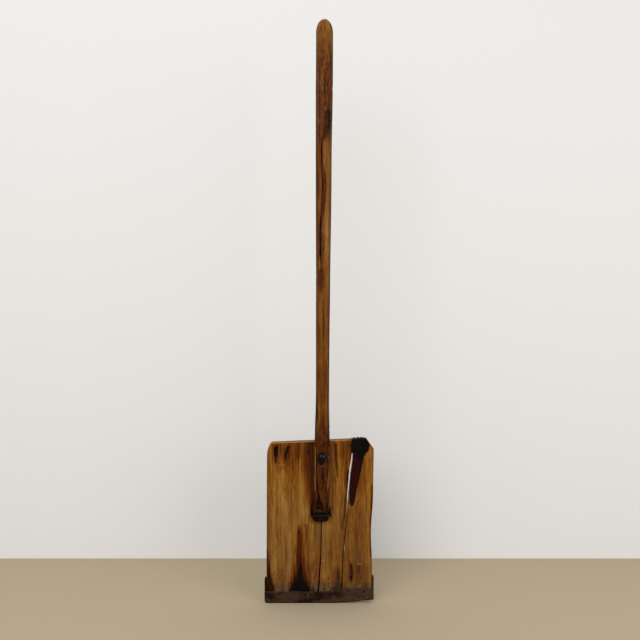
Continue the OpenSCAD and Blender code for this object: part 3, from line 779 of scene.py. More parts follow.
def crack_depth(s, x, z, depth):
    """The crack's mouth: a V whose sides fall over the mouth's width towards the split's edge."""
    middle, half = split_line(s, z)
    beside = np.clip(1 - (np.abs(x - middle) - half) / MOUTH, 0, 1)
    shut = depth * (1 - ease(half / 0.9)) * ease((s.split_end_z + 26 - z) / 20)
    return beside * np.maximum(shut, 0.6 * ease(half / 0.5))


def front_y(s, x, z):
    """Depth of the front face: grain ridges, slow wear, dents, arrises, checks, resin hollow and knot."""
    board = s.board
    sway = x + 3 * noise(x / 60, z / 130, 41)
    ridges = board.grain * noise(sway / 2.7, z / 160, 42) + 0.4 * board.grain * noise(sway / 1.4, z / 55, 43)
    wear = 0.45 * rough(x / 75, z / 110, 44)
    dents = 0.55 * ease((noise(x / 10, z / 15, 45) - 0.62) / 0.25)
    check, check_half, check_depth = check_line(s, z)
    groove = check_depth * np.clip(1 - np.abs(x - check) / check_half, 0, 1)
    hollow = 0.7 * stroke(x, z, BOARD_RESIN["resin streak"][2], 2.5)
    clear = 1 - knot_mask(s, x, z)
    return (s.front + clear * (ridges + 0.5 * wear + dents) + hollow + arris_depth(s, x, z, 46) + groove
            + crack_depth(s, x, z, board.check_depth) - knot_relief(s, x, z, 47))


def back_y(s, x, z):
    """Depth of the back face: the lower of the back plane and the bevel's plane, softly joined, with
    saw marks, and the arrises, the crack and the knot as in front."""
    board = s.board
    plane = np.full_like(x, s.back)
    bevel = s.front + board.edge + (z - s.low) * s.bevel_tan
    face = (plane + bevel - np.hypot(plane - bevel, 1.5)) / 2
    saw = 0.12 * np.sin(2 * np.pi * (z + 0.12 * x) / 7.5) * (0.5 + 0.5 * noise(x / 50, z / 60, 51))
    ridges = board.grain * noise(x / 3.1 + 9, z / 150, 52) + 0.25 * rough(x / 60, z / 90, 53)
    clear = 1 - knot_mask(s, x, z, 0)
    crack = crack_depth(s, x, z, 1.2 * ease((z - 90) / 60))
    return face - clear * (saw + ridges) - arris_depth(s, x, z, 54) - crack + knot_relief(s, x, z, 55, 0)


# Marks on the board's front. Each has a strength, a soft width and a path of (x, z, half width)
BOARD_TONES = {
    "redder upper left": (-0.35, 16, [(-70, 400, 50), (-80, 325, 44)]),
    "gold of the left side": (0.6, 14, [(-102, 330, 12), (-100, 210, 26), (-97, 75, 24)]),
    # Painted shadow and grime in a band left of the handle, and a painted contact shadow and gap dirt along
    # its edge
    "shadow and grime left of the handle": (-0.65, 6, [(-26, 398, 11), (-27, 305, 11), (-23, 240, 7),
                                                (-20, 212, 4)]),
    "contact shadow and gap dirt by the handle": (-0.6, 2.5, [(-17, 398, 2), (-18, 300, 2.5), (-20, 225, 3)]),
    "dark patch below the top edge": (-0.7, 4, [(-51, 388, 3), (-51, 346, 2)]),
    "brown right of the handle": (-0.7, 4, [(28, 392, 7), (28, 215, 6)]),
    "dark streak right of the handle": (-1.5, 2, [(37, 384, 4), (38, 345, 3), (42, 300, 1.5)]),
    "reddish streak beside it": (-0.7, 2, [(56, 386, 3), (57, 350, 2.5)]),
    "orange left of the split": (0.2, 5, [(50, 388, 6), (50, 250, 7)]),
    "red streak beside the split": (-1.1, 2, [(67, 322, 2), (63, 270, 3), (58, 217, 3), (52, 176, 2)]),
    "gold of the right side": (-0.1, 6, [(112, 350, 8), (112, 240, 9), (106, 105, 16)]),
    "brown above the shoe at the right": (-0.4, 8, [(96, 95, 22), (96, 40, 24)]),
    "burnt wood round the streak": (-0.8, 5, [(-43, 198, 2), (-45, 175, 12), (-46, 134, 16),
                                              (-47, 94, 19), (-49, 54, 24), (-50, 20, 27)]),
    "dark heart of the burn": (-1.5, 7, [(-51, 182, 1.5), (-50, 160, 4), (-49, 120, 5), (-49, 80, 9),
                                         (-50, 40, 19), (-50, 20, 26)]),
    "orange right of the burn": (0.7, 3, [(-36, 180, 2), (-36, 140, 4), (-33, 100, 3)]),
    "pale wood beside the foot": (0.9, 5, [(-33, 232, 4), (-31, 196, 7), (-22, 186, 7)]),
    "pale wood below the foot": (0.6, 5, [(-20, 190, 6), (-19, 100, 8)]),
    "pale middle": (0.3, 10, [(30, 200, 22), (26, 45, 18)]),
    "left lower corner": (-1.7, 4, [(-127, 130, 1), (-125, 75, 6), (-120, 24, 12)]),
    "dark right edge": (-2.0, 2, [(124.5, 286, 1.5), (122.5, 200, 3.5), (121, 112, 1.5)]),
    "dark left edge": (-0.7, 1.6, [(-130, 350, 1.5), (-131, 60, 2)]),
    "soft streak at the lower right": (-1.2, 3, [(72, 98, 2), (76, 70, 6), (74, 48, 3)]),
    "mottling left of the crack": (-1.0, 5, [(38, 84, 5), (42, 26, 14)]),
    # Painted shadow below the handle's foot
    "painted shadow under the foot": (-1.2, 2.5, [(2, 200, 12), (2, 193, 9)]),
    "tail of the first top mark": (-2.0, 2, [(-108, 356, 4), (-108, 336, 2)]),
    "tail of the second top mark": (-1.3, 2, [(-82, 370, 4), (-84, 345, 2)]),
}
BOARD_STAINS_AND_SHADE = {
    "soft burn": (0.42, 8, [(-48, 112, 0), (-49, 74, 6), (-51, 52, 13), (-51, 20, 28)]),
    "burn core": (0.42, 6, [(-48, 112, -1), (-48, 95, 0.5), (-49, 74, 2.5), (-51, 52, 6), (-51, 38, 14),
                            (-51, 20, 20)]),
    "finger beside it": (0.45, 3, [(-31, 88, 0), (-31, 61, 2), (-32, 20, 4)]),
    "first top mark": (1.0, 2, [(-107.5, 352, 4), (-107, 366, 6), (-106, 378, 5)]),
    "second top mark": (0.8, 1.8, [(-80, 358, 2), (-78, 378, 4)]),
    "third top mark": (0.5, 1.5, [(-89, 366, 1.5), (-89, 378, 2)]),
    "right border of the resin": (0.85, 2, [(101, 352, 3), (97, 322, 2), (90, 290, 1.6), (84.5, 262, 1),
                                            (79, 240, 0.8)]),
    "left border of the resin": (0.75, 1.2, [(75.5, 352, 1.4), (72.5, 300, 1.2), (70.5, 238, 1.6)]),
    # Painted shade in the gaps beside the foot and round the staple, with dirt and iron stain
    "shade and iron stain at the left leg": (1.0, 2.5, [(-21.5, 238, 2), (-20.5, 208, 3.5)]),
    "shade and iron stain at the right leg": (1.0, 2.5, [(23, 234, 2), (22.5, 208, 3.5)]),
    "shadow and iron stain under the staple": (0.9, 2.5, [(1, 216, 20), (1, 206, 17)]),
    # Painted shade inside the check and the crack
    "painted shade in the check": (0.95, 0.8, [(3, 206, 0.8), (1, 119, 1.4), (-5.5, 24, 2.0)]),
    "painted shade in the crack": (0.8, 0.7, [(63.5, 202, 0.8), (55.5, 136, 1.1), (50.5, 24, 1.4)]),
    "tail of the knot": (0.9, 3, [(100, 366, 12), (97, 350, 7), (98, 340, 4)]),
}
BOARD_RESIN = {
    "resin streak": (1.1, 2, [(75, 232, 2.5), (76.3, 240, 5), (77, 249, 6.8), (78, 262, 7.8),
                              (80.6, 290, 9.5), (85, 320, 12), (88, 352, 12.5), (89, 366, 13)]),
}
BOARD_GREY = {
    "grey beside the handle": (0.25, 4, [(28, 392, 5), (28, 205, 5)]),
    "grey of the lower half": (0.2, 30, [(0, 250, 140), (0, -60, 140)]),
    "dust above the lip": (0.3, 6, [(0, 50, 140), (0, -20, 140)]),
}
# Pale scratches on the front, each a place and radii
SCRATCHES = [((-92, 332), (13, 1.0)), ((-103, 303), (8, 0.9)), ((98, 93.5), (13, 1.0)), ((88, 100), (4, 1.6)),
             ((-87, 71), (11, 0.9)), ((7, 103), (6, 0.9)), ((57.5, 132), (1.3, 10)), ((62, 96), (4, 0.9)),
             ((22, 58), (2, 1.0)), ((-60, 300), (6, 0.8)), ((34, 198), (5, 1.3)), ((-38, 196), (9, 1.2))]
# Small dark knots on the front, each a place and radii
PIN_KNOTS = [((-85, 272), (3.2, 2.6)), ((-38, 311), (1.8, 1.8)), ((-68, 354), (2.2, 2.2)),
             ((-102, 131), (2.4, 1.8)), ((70, 171.5), (2.4, 2.4)), ((-52, 171), (3.4, 4.0)),
             ((-111, 74), (2.0, 3.0)), ((93, 248), (2, 2)), ((73, 62), (3.5, 7)), ((74, 88), (3, 4))]
# How far each back nail lies right of its even place, and how far the row's ends lie from the board's edges
BACK_NAIL_SLIPS = np.array([1, 3, 3, 1, 8, 6, 5, 2])
BACK_NAIL_IN = 29
# Radii of the stain round the point of a back nail
POINT_STAIN = (1.9, 2.6)


def back_nail_xs(s):
    """x of each back nail: even steps across the plate, each with its own slip."""
    right = float(right_edge(s, s.back_nail_z))
    even = np.linspace(-s.half + BACK_NAIL_IN, right - BACK_NAIL_IN, len(BACK_NAIL_SLIPS))
    return even + BACK_NAIL_SLIPS


def front_marks(s, x, z):
    """Stains, wear, painted shade and a painted highlight on the front face, from 0 to 1; the tone runs from
    dark, -1, to gold, 1.
    """
    # Darker towards the shoe, over the lower part of the front
    darker_near_shoe = ease((58 - z) / 28) * (0.8 + 0.8 * rough(x / 8, z / 8, 61))
    stains = marked(x, z, BOARD_TONES)
    knot = knot_mask(s, x, z)
    to_lower_right = 1 - 0.75 * ease((x - s.knot_x - (z - s.knot_z) - 21) / 12)
    faded = to_lower_right * (1 - 0.75 * ease((368 - z) / 10))
    middle = ease((x + 60) / 20) * ease((75 - x) / 30)
    specks = ease((rough(x / 4, z / 6, 63) + 0.5) / 1.4) * ease((44 + 20 * middle - z) / 22)
    points = sum(spot(x, z, (place, s.back_nail_z), POINT_STAIN) for place in back_nail_xs(s))
    pins = sum(spot(x, z, at, radii) for at, radii in PIN_KNOTS)
    rubs = sum(spot(x, z, at, radii) for at, radii in SCRATCHES)
    # Pale along the top edge: rubbed wear and a painted highlight where the top arris catches the light
    top_arris = ease(1.6 - (top_line(s, x) - z) / 2.2) * ease((s.knot_x - 24 - x) / 4)
    edges = ease(1 - edge_distance(s, x, z) / 2.5)
    return {"tone": stains - 1.1 * darker_near_shoe + 0.5 * noise(x / 22, z / 120, 62),
            "tar": np.clip(marked(x, z, BOARD_STAINS_AND_SHADE) + 1.4 * knot * faded + 0.6 * specks + 0.7 * points
                           + 0.65 * pins, 0, 1),
            "resin": marked(x, z, BOARD_RESIN),
            "bare": np.clip(0.5 * top_arris + 0.75 * rubs + 0.35 * edges, 0, 1) * (1 - knot),
            "weathered": marked(x, z, BOARD_GREY) * ease(1 + stains / 1.5)
            * (1 + 0.8 * rough(x / 5, z / 40, 70))}


def back_marks(s, x, z):
    """The back is greyer and plainer: stains round the irons, rust above the plate, and the knot."""
    washer = spot(x, z, (s.bolt_x, s.bolt_z - 2), (13, 17))
    clinches = spot(x, z, (1, s.staple_z), (30, 9)) + spot(x, z, (-1, s.staple_z + 14), (10, 12))
    rust = ease((s.shoe.plate_h + 16 - z) / 18) * (0.6 + 0.5 * rough(x / 8, z / 10, 64))
    round_knot = spot(x, z, (s.knot_x, s.knot_z), (26, 40))
    knot = knot_mask(s, x, z, 0) * (0.72 + 0.3 * rough(x / 7, z / 7, 69))
    return {"tone": 0.9 * noise(x / 34, z / 170, 65) - 0.55 - 1.6 * rust - 1.2 * clinches - washer
            - 1.5 * round_knot,
            "tar": np.clip(knot + 0.4 * washer + 0.4 * clinches + 0.5 * rust, 0, 1),
            "resin": 0.62 * marked(x, z, BOARD_RESIN),
            "bare": 0.35 * ease(1 - edge_distance(s, x, z) / 2.5),
            "weathered": 0.35 + 0.25 * noise(x / 40, z / 90, 66)}


# Rows of faces through the board's thickness
LAYERS = 7
# What the sawn rim adds to half of the front's marks beside it, and the marks in the split, whose walls are
# painted black as shade
RIM_DIRT = {"tone": -0.9, "tar": 0.12, "resin": 0.0, "bare": 0.05, "weathered": 0.25}
SLOT_SHADE = {"tone": 0.0, "tar": 0.95, "resin": 0.0, "bare": 0.0, "weathered": 0.0}


def rim_wobble(s, points, depth):
    """How far the sawn rim stands out: crumbled on the knot, and a little inside the outline all round."""
    x, z = points[:, 0], points[:, 2]
    crumble = np.where(knot_mask(s, x, z) > 0.3, 1.3, 0.32)
    return crumble * noise((z + 1.7 * x) / 2.8, depth / 1.3, 67) - 0.33


def slot_wobble(points, depth):
    """How far fibres stand out of the split's walls, apart from its two ends."""
    z = points[:, 2]
    return 0.28 * noise(z / 6, depth / 2, 68) * (z > z.min() + 4) * (z < z.max() - 4)


def wall_band(points, front_loop, back_loop, wobble, first_new):
    """A band between two loops of vertices through the board's thickness. Its inner rows lie evenly
    between the loops and are pushed out by the wobble, as wide as the rows are long."""
    shares = (np.arange(1, LAYERS) / LAYERS)[:, None, None]
    near, far = points[front_loop], points[back_loop]
    along = np.roll(near, -1, 0) - np.roll(near, 1, 0)
    out = np.stack([along[:, 2], np.zeros(len(near)), -along[:, 0]], -1)
    out /= np.maximum(np.linalg.norm(out, axis=1), 1e-9)[:, None]
    new = near + shares * (far - near) + wobble[:, :, None] * out
    index = np.concatenate([front_loop[None], first_new + np.arange(new.size // 3).reshape(len(new), -1),
                            back_loop[None]])
    index = np.concatenate([index, index[:, :1]], axis=1)
    return new.reshape(-1, 3), grid_quads(index)[:, ::-1]


def board_marks(s, x, z, rim, slot):
    """The marks of the front, the back, the band round the rim and the band in the slot, in that order."""
    behind = back_marks(s, x, z)
    marks = {}
    for name, ahead in front_marks(s, x, z).items():
        on_rim = np.tile(0.5 * ahead.ravel()[rim] + RIM_DIRT[name], LAYERS - 1)
        on_slot = np.full((LAYERS - 1) * len(slot), SLOT_SHADE[name])
        marks[name] = np.concatenate([ahead.ravel(), behind[name].ravel(), on_rim, on_slot])
    return marks


def board_shape(s):
    """Front and back faces on one grid of x and z. They share their columns; where the split is
    open the two columns beside it part, and bands close the outline and the slot."""
    x, z, parted = board_grid(s)
    size = x.size
    points = np.stack([np.tile(x.ravel(), 2),
                       np.concatenate([front_y(s, x, z).ravel(), back_y(s, x, z).ravel()]),
                       np.tile(z.ravel(), 2)], -1)
    open_row = x[:, parted] - x[:, parted - 1] > 0.02
    face = np.arange(size).reshape(x.shape)
    face[~open_row, parted] = face[~open_row, parted - 1]
    quads = [grid_quads(part[:, cols])[:, ::way] for part, way in ((face, 1), (face + size, -1))
             for cols in (slice(None, parted), slice(parted, None))]
    rim = np.concatenate([np.delete(face[0], parted)[:-1], face[:-1, -1],
                          np.delete(face[-1], parted)[:0:-1], face[:0:-1, 0]])
    first, last = np.flatnonzero(open_row)[[0, -1]] + (-1, 1)
    slot = np.concatenate([face[first:last + 1, parted - 1], face[last - 1:first:-1, parted]])
    depth = np.arange(1, LAYERS)[:, None]
    outer, outer_quads = wall_band(points, rim, rim + size, rim_wobble(s, points[rim], depth), 2 * size)
    inner, inner_quads = wall_band(points, slot, slot + size, slot_wobble(points[slot], depth),
                                   2 * size + len(outer))
    points = np.concatenate([points, outer, inner])
    quads = np.concatenate([*quads, outer_quads, inner_quads])
    kept = np.unique(quads)
    renumber = np.zeros(len(points), int)
    renumber[kept] = np.arange(len(kept))
    return ((points[kept], renumber[quads], np.empty((0, 3), int)),
            {name: values[kept] for name, values in board_marks(s, x, z, rim, slot).items()})


# The handle

# The pole's long check: height, offset from the axis, half width and depth at each point
POLE_CHECK = np.array([
    (1112, -5.8, 0.3, 0.0), (1100, -5.8, 0.6, 1.8), (1060, -5.6, 0.8, 2.4), (1043, -4.0, 0.5, 0.9),
    (1012, -1.6, 0.8, 2.4), (996, -1.4, 0.9, 2.4), (974, -3.5, 0.5, 1.2), (950, -4.5, 0.5, 1.2),
    (916, -7.5, 0.7, 1.5), (896, -7.3, 0.4, 0.2), (881, -7.3, 0.4, 0.3), (874, -7.2, 0.9, 2.6),
    (861, -7.2, 0.4, 0.9), (852, -7.1, 1.1, 2.8), (833, -7.1, 1.1, 2.8), (824, -7.1, 0.4, 0.2),
    (797, -8.9, 0.9, 1.2), (761, -8.6, 0.6, 0.7), (742, -8.6, 0.3, 0.0)])[::-1]
# Marks on the handle's front, as the board's but by offset from the handle's axis
POLE_STAINS_AND_SHADE = {
    "blotch above the check": (0.2, 4, [(9, 1166, 5), (6, 1146, 7), (1, 1124, 4), (-5.4, 1104, 1.2)]),
    # The strokes named after the checks are painted shade inside the checks
    "upper check": (0.8, 1.0, [(-5.8, 1100, 0.9), (-5.6, 1052, 1.5)]),
    "middle check": (0.75, 1.0, [(-4.0, 1044, 0.4), (-1.6, 1012, 1.2), (-1.4, 994, 1.4), (-3.5, 974, 0.8)]),
    "faint check": (0.65, 1.0, [(-3.5, 968, 1.0), (-4.5, 950, 1.2)]),
    "blob on the check": (0.55, 2.2, [(-6, 928, 2.0), (-8, 906, 2.6)]),
    "upper half of the wide check": (1.0, 0.9, [(-7.4, 878, 0.8), (-7.4, 864, 1.8)]),
    "lower half of the wide check": (1.0, 0.9, [(-7.2, 857, 1.8), (-7.3, 834, 2.0)]),
    "tail of the check": (0.4, 1.6, [(-6, 800, 1.0), (-7, 756, 1.4)]),
    "blob beside the tail": (0.3, 1.6, [(-1, 790, 1.4), (-3, 765, 1.6)]),
    "slanting streak": (0.45, 1.0, [(16, 1020, 0.9), (10, 1000, 1.2), (2, 976, 0.9)]),
    "black left side low down": (0.75, 2.5, [(-14, 492, 1.5), (-13, 462, 3), (-13, 436, 1.5)]),
    "small mark": (0.8, 1.4, [(1, 646, 1.2), (1.6, 634, 1.6)]),
    "iron stain round the bolt": (1.0, 2.0, [(-0.5, 366, 6.5), (-0.5, 355, 10), (-1, 344, 8.4),
                                             (-1.5, 335, 3)]),
    "red crack down to the nails": (0.8, 1.4, [(-12, 326, 0.8), (-11.5, 296, 1.4), (-8, 268, 2),
                                               (-5.5, 254, 3)]),
    "iron stain round the nails": (0.5, 4, [(-7, 262, 1), (-6, 246, 8), (-4.5, 227, 11)]),
    "iron stain between the nails": (0.5, 2.5, [(-7, 252, 4), (-6, 244, 7), (-4, 228, 8.5)]),
    # Painted contact shadow above and below the staple's rod, with iron stain
    "shadow and iron stain above the staple": (1.0, 1.0, [(-2.5, 221.5, 18), (-2.5, 214, 18)]),
    "shadow and iron stain below the staple": (0.9, 1.2, [(-2.5, 210, 18), (-2.5, 207.5, 17)]),
    # Painted shade at the foot's lower end, under the foot
    "painted shade under the foot": (0.9, 1.0, [(-2.5, 200, 18), (-2.5, 196, 18)]),
}
POLE_TONES = {
    "blotch above the check": (-0.75, 5, [(12, 1180, 8), (9, 1146, 9), (4, 1124, 7), (-4, 1104, 3)]),
    "gold right of the check": (0.5, 4, [(9, 1108, 4), (9, 1090, 8), (9, 1000, 8), (7, 880, 8)]),
    "red border of the check": (-1.2, 2.5, [(-5, 1112, 2), (-4, 1050, 4), (0, 1020, 6), (1, 990, 6),
                                            (-2, 950, 5), (-7, 900, 3), (-7, 860, 2), (-6, 812, 1)]),
    "red patch below the check": (-0.8, 5, [(-4, 806, 2), (-3, 785, 6), (-3, 765, 6), (-5, 744, 2)]),
    "pale strip beside the check": (0.8, 1.5, [(-9, 826, 1.2), (-9.5, 800, 1.6)]),
    "shaded left side": (-0.4, 4, [(-13, 1150, 4), (-14, 760, 4)]),
}
# Rubbed spots, each a place, radii and strength
POLE_BARE = [((-14, 1110), (2.6, 3.4), 0.4), ((0.5, 334), (11, 1.1), 0.5), ((-1, 1325), (4, 22), 0.35),
             ((-4.2, 1053), (1.2, 4), 0.4), ((3, 1000), (1.2, 6), 0.5), ((-4.5, 962), (1.2, 4), 0.6),
             ((-9, 818), (1.0, 12), 0.45), ((5, 1340), (3, 8), 0.3), ((7, 1165), (2, 6), 0.3),
             ((2, 1180), (2.5, 7), 0.3), ((-2, 1200), (2, 7), 0.3), ((4, 395), (4, 5), 0.35),
             ((-3, 845), (1.6, 14), 0.35), ((1, 1240), (1.6, 10), 0.3)]
# Tone of the handle at each height, from dark, -1, to pale, 1; the darkest values at the foot's end are
# partly painted shade under the foot
POLE_TONE = np.array([
    (195, -2.0), (206, -1.7), (222, -1.2), (260, -0.9), (300, -0.8), (372, -0.8), (400, -0.45), (450, -0.3),
    (480, 0.05), (560, 0.1), (700, 0.15), (840, 0.2), (960, 0.2), (1100, 0.2), (1130, -0.2), (1180, -0.35),
    (1280, -0.3), (1320, -0.05), (1350, 0.35), (1390, 0.4), (1400, 0.0)])
# A pin knot just above the board, as a place and radii
POLE_KNOT = ((-0.7, 400), (2.8, 3.4))
# Length over which the round pole turns into the lap, and height of the foot's rounded end
RUNOUT, FOOT_ROUND = 26, 9
# Shares of the way round the handle, with 0 in front and 1 and -1 behind, close together at the check
FINE_COLS = np.array([-3, -1.6, -0.8, 0, 0.8, 1.6, 3]) * 0.012
COARSE_COLS = np.linspace(0.07, 1, 33)
HANDLE_COLS = np.concatenate([-COARSE_COLS[-2::-1], FINE_COLS, COARSE_COLS])


def pole_radius(s, up):
    """Half an ellipse on the dome, a straight taper from grip to waist, an eased swell to the lap."""
    handle = s.handle
    t = np.clip((up - s.grip_high) / handle.dome_h, 0, 1)
    taper = np.clip((up - s.waist_high) / (s.grip_low - s.waist_high), 0, 1)
    swell = ease((s.waist_low - up) / (s.waist_low - s.lap_top))
    wider = (handle.grip_d - handle.waist_d) * taper + (handle.lap_d - handle.waist_d) * swell
    return (handle.waist_d + wider) / 2 * np.sqrt(np.maximum(0, 1 - t ** 2))


def bar_section(q, w, y0, y1, c):
    """A round-cornered bar walked by arc length, from the middle of its front to that of its back:
    half front, corner, side, corner, half back. q runs from -1 to 1, w is half the bar's width and c
    the corner's radius. Gives x, y, the normal's x and y, and the length of half the walk."""
    quarter = np.pi / 2 * c
    ends = np.cumsum(np.stack([w - c, quarter, y1 - y0 - 2 * c, quarter, w - c]), axis=0)
    run = np.abs(q) * ends[-1]
    a = np.clip((run - ends[0]) / c, 0, np.pi / 2)
    b = np.clip((run - ends[2]) / c, 0, np.pi / 2)
    parts = [run < end for end in ends[:4]]
    x = np.select(parts, [run, w - c + c * np.sin(a), w, w - c + c * np.cos(b)], w - c - (run - ends[3]))
    y = np.select(parts, [y0, y0 + c - c * np.cos(a), y0 + c + run - ends[1], y1 - c + c * np.sin(b)], y1)
    nx = np.select(parts, [0 * a, np.sin(a), 1 + 0 * a, np.cos(b)], 0)
    ny = np.select(parts, [-1 + 0 * a, -np.cos(a), 0 * a, np.sin(b)], 1)
    side = np.sign(q)
    return x * side, y, nx * side, ny, ends[-1]


def handle_rings(s):
    """Heights of the handle's rings, closest at the foot's end, with two at the board's top edge, where
    the back steps from the seat to the round pole; and how far each ring is shrunk to close the end."""
    dome = s.grip_high + s.handle.dome_h * np.sin(np.radians(np.linspace(6, 86, 22)))
    up = np.concatenate([s.foot_low + np.array([0, 0, 0, 0.25, 0.8, 1.7, 3, 4.8, 7]),
                         np.arange(s.foot_low + FOOT_ROUND, s.shoulder - 2, 1.6), [s.shoulder, s.shoulder],
                         np.arange(s.shoulder + 2, s.grip_high, 2.0), dome])
    return up[:, None], np.concatenate([[0.25, 0.6, 0.9], np.ones(len(up) - 3)])[:, None]


def handle_relief(q, up, flat):
    """Shaved facets, grain, slow waves and dents, along the surface's normal."""
    facets = 0.28 * np.cos(9 * np.pi * q + 0.9 * np.sin(up / 170)) * (1 - 0.7 * flat)
    grain = 0.10 * noise(q * 34, up / 40, 81) + 0.16 * rough(q * 9, up / 120, 82)
    slow = 0.35 * noise(q * 2.2, up / 150, 84)
    dents = 0.6 * ease((noise(q * 7, up / 16, 85) - 0.66) / 0.22)
    return facets + grain + slow - dents


def handle_shape(s):
    """Rings of a bar section at heights along the handle, measured from the bolt. The section turns
    from a circle on the pole to a flat-fronted lap, and its back is held at the board's front."""
    handle = s.handle
    up, shrink = handle_rings(s)
    r = pole_radius(s, up)
    check_x, check_half, check_depth = (np.interp(up + s.bolt_z, POLE_CHECK[:, 0], POLE_CHECK[:, k])
                                        for k in (1, 2, 3))
    check_q = np.arcsin(np.clip(check_x / np.maximum(r, 10), -1, 1)) / np.pi
    q = HANDLE_COLS + check_q * (1 - np.abs(HANDLE_COLS)) ** 1.5
    flat = ease((s.lap_top - up) / RUNOUT)
    foot_top, foot_full = -s.iron.bolt_head_d, s.foot_low + s.iron.staple_up + 12
    foot = ease((foot_top - up) / (foot_top - foot_full))
    down = np.clip((s.foot_low + FOOT_ROUND - up) / FOOT_ROUND, 0, 1)
    end = (1 - down ** 2.4) ** (1 / 2.4)
    lap_half = (handle.lap_w + (handle.foot_w - handle.lap_w) * foot) / 2 * (0.62 + 0.38 * end) * shrink
    lap_depth = (handle.lap_t + (handle.foot_t - handle.lap_t) * foot) * (0.5 + 0.5 * end) * shrink
    w = r + (lap_half - r) * flat
    y0 = (s.pole_y - r) * (1 - flat) + (s.front - lap_depth) * flat
    y1 = s.pole_y + r
    corner = np.minimum(w, (y1 - y0) / 2) * (1 - flat) + np.minimum(5, 0.95 * w) * flat
    x, y, nx, ny, half_round = bar_section(q, w, y0, y1, corner)
    groove = check_depth * np.clip(1 - np.abs(q - check_q) * half_round / (check_half + 0.25), 0, 1)
    push = handle_relief(q, up, flat) * np.clip(r / 12, 0, 1) * shrink - groove
    # The front stays a little inside the plain pole's, and the back is cut to the board up to its top
    front_most = s.pole_y - handle.grip_d / 2 + 0.1
    seated = (np.arange(len(up)) <= np.flatnonzero(up == s.shoulder)[0])[:, None]
    x, y = x + nx * push, np.maximum(y + ny * push, front_most)
    y = np.where(seated, np.minimum(y, s.front), y)
    x = x - handle.foot_swing * foot + 0.5 * noise(up / 240, 0.5, 86)
    on_edge = top_line(s, x + s.bolt_x) + 0.15 - s.bolt_z
    up = np.where(up == s.shoulder, on_edge, up)
    marks = {name: np.concatenate([values.ravel(), [values[0].mean(), values[-1].mean()]])
             for name, values in handle_marks(s, x, y, up + s.bolt_z, flat).items()}
    return skin(lean_points(s, np.stack([x, y, up], -1))), marks


def handle_marks(s, x, y, z, flat):
    """Marks by their offset from the axis and their height, held to the front, with noise behind; the tone
    holds painted shade on the pole's sides.
    """
    front = ease((s.pole_y + 4 - y) / 8 + flat)
    behind = ease((noise(x / 5, z / 60, 91) - 0.45) / 0.3) * (1 - front)
    radius = pole_radius(s, z - s.bolt_z)
    # The tone darkens the pole's sides: painted shade where the round pole turns away from the light
    sides = ease((np.abs(x) - 0.72 * radius) / (0.2 * radius + 0.1)) * (1 - flat)
    stains = marked(x, z, POLE_STAINS_AND_SHADE) + 0.6 * spot(x, z, *POLE_KNOT)
    rubs = sum(power * spot(x, z, at, radii) for at, radii, power in POLE_BARE)
    # The lap's arrises are paler: rubbed wear and a painted highlight along the edges
    to_arris = np.abs(np.abs(x + 0.5) - (s.handle.lap_w + 1) / 2 + 2.2)
    arris = ease(1 - to_arris / 1.6) * ease((z - 262) / 20) * ease((388 - z) / 12) * flat
    return {"tone": np.interp(z, POLE_TONE[:, 0], POLE_TONE[:, 1]) + front * marked(x, z, POLE_TONES)
            + 0.35 * noise(x / 7, z / 50, 92) - 0.55 * sides,
            "tar": np.clip(front * stains + 0.4 * behind, 0, 1),
            "bare": np.clip(front * (rubs + 0.9 * arris), 0, 1),
            "grime": ease((z - 1120) / 30) * ease((1370 - z) / 80) + 0.2 * ease((500 - z) / 60)}


# The irons

# How far a bent leg or point lies off the board's back
BEND_GAP = 0.3
# Places of the foot's nails, from the middle of the foot and from the staple
FOOT_NAILS = ((-6.8, 23.5), (-0.6, 17))
# Heights of the nails' heads
FOOT_HEAD_H, LIP_HEAD_H, BACK_HEAD_H = 1.8, 1.6, 1.4
# How far a lip nail lies below the lip's upper edge, and the middle one as a share of that
LIP_NAIL_DOWN, LOWER_NAIL = 7.3, 1.4
# Points round each kind of piece
BOLT_SIDES, WASHER_SIDES, NUT_SIDES, FOOT_NAIL_SIDES, ROD_SIDES = 56, 64, 96, 28, 24


def round_angles(sides):
    """Even angles once round."""
    return np.linspace(0, 2 * np.pi, sides, endpoint=False)


def lean_points(s, points):
    """Turns points about the bolt's axis by the handle's lean, from its own frame to the shovel's."""
    sine, cosine = np.sin(s.handle.lean), np.cos(s.handle.lean)
    x, y, z = np.moveaxis(points, -1, 0)
    return np.stack([s.bolt_x + x * cosine + z * sine, y, s.bolt_z + z * cosine - x * sine], -1)


def as_rows(values):
    """One value for each ring, as a column that goes with values round the ring."""
    values = np.asarray(values, float)
    return values[:, None] if values.ndim == 1 else values


def turned(y, radius, sides):
    """A piece turned round the Y axis: rings of the given radii, one value a ring or one a point."""
    a = round_angles(sides)
    radius = as_rows(radius)
    return np.stack(np.broadcast_arrays(radius * np.sin(a), as_rows(y), radius * np.cos(a)), -1)


def swept(path, tangent, across, radius):
    """A rod along a path that lies in one plane: each ring stands square to the tangent, spread by the
    vector across the plane and the one in it."""
    a = round_angles(radius.shape[1])[:, None]
    beside = np.cross(tangent, across)[:, None]
    return path[:, None] + radius[..., None] * (np.cos(a) * beside + np.sin(a) * np.asarray(across))


def straight(start, end, count):
    """Points and tangents on a line in a plane."""
    run = np.subtract(end, start)
    return np.linspace(start, end, count), np.tile(run / np.hypot(*run), (count, 1))


def arc(centre, r, start, end, count):
    """Points and tangents on an arc in a plane, from one angle to another in degrees."""
    a = np.radians(np.linspace(start, end, count))
    way = np.sign(end - start)
    points = np.stack([centre[0] + r * np.cos(a), centre[1] + r * np.sin(a)], -1)
    return points, np.stack([-np.sin(a), np.cos(a)], -1) * way


def square_radius(half, a, power=14):
    """Radius of a soft square: half over the power mean of the cosine and the sine."""
    return half / (np.abs(np.cos(a)) ** power + np.abs(np.sin(a)) ** power) ** (1 / power)


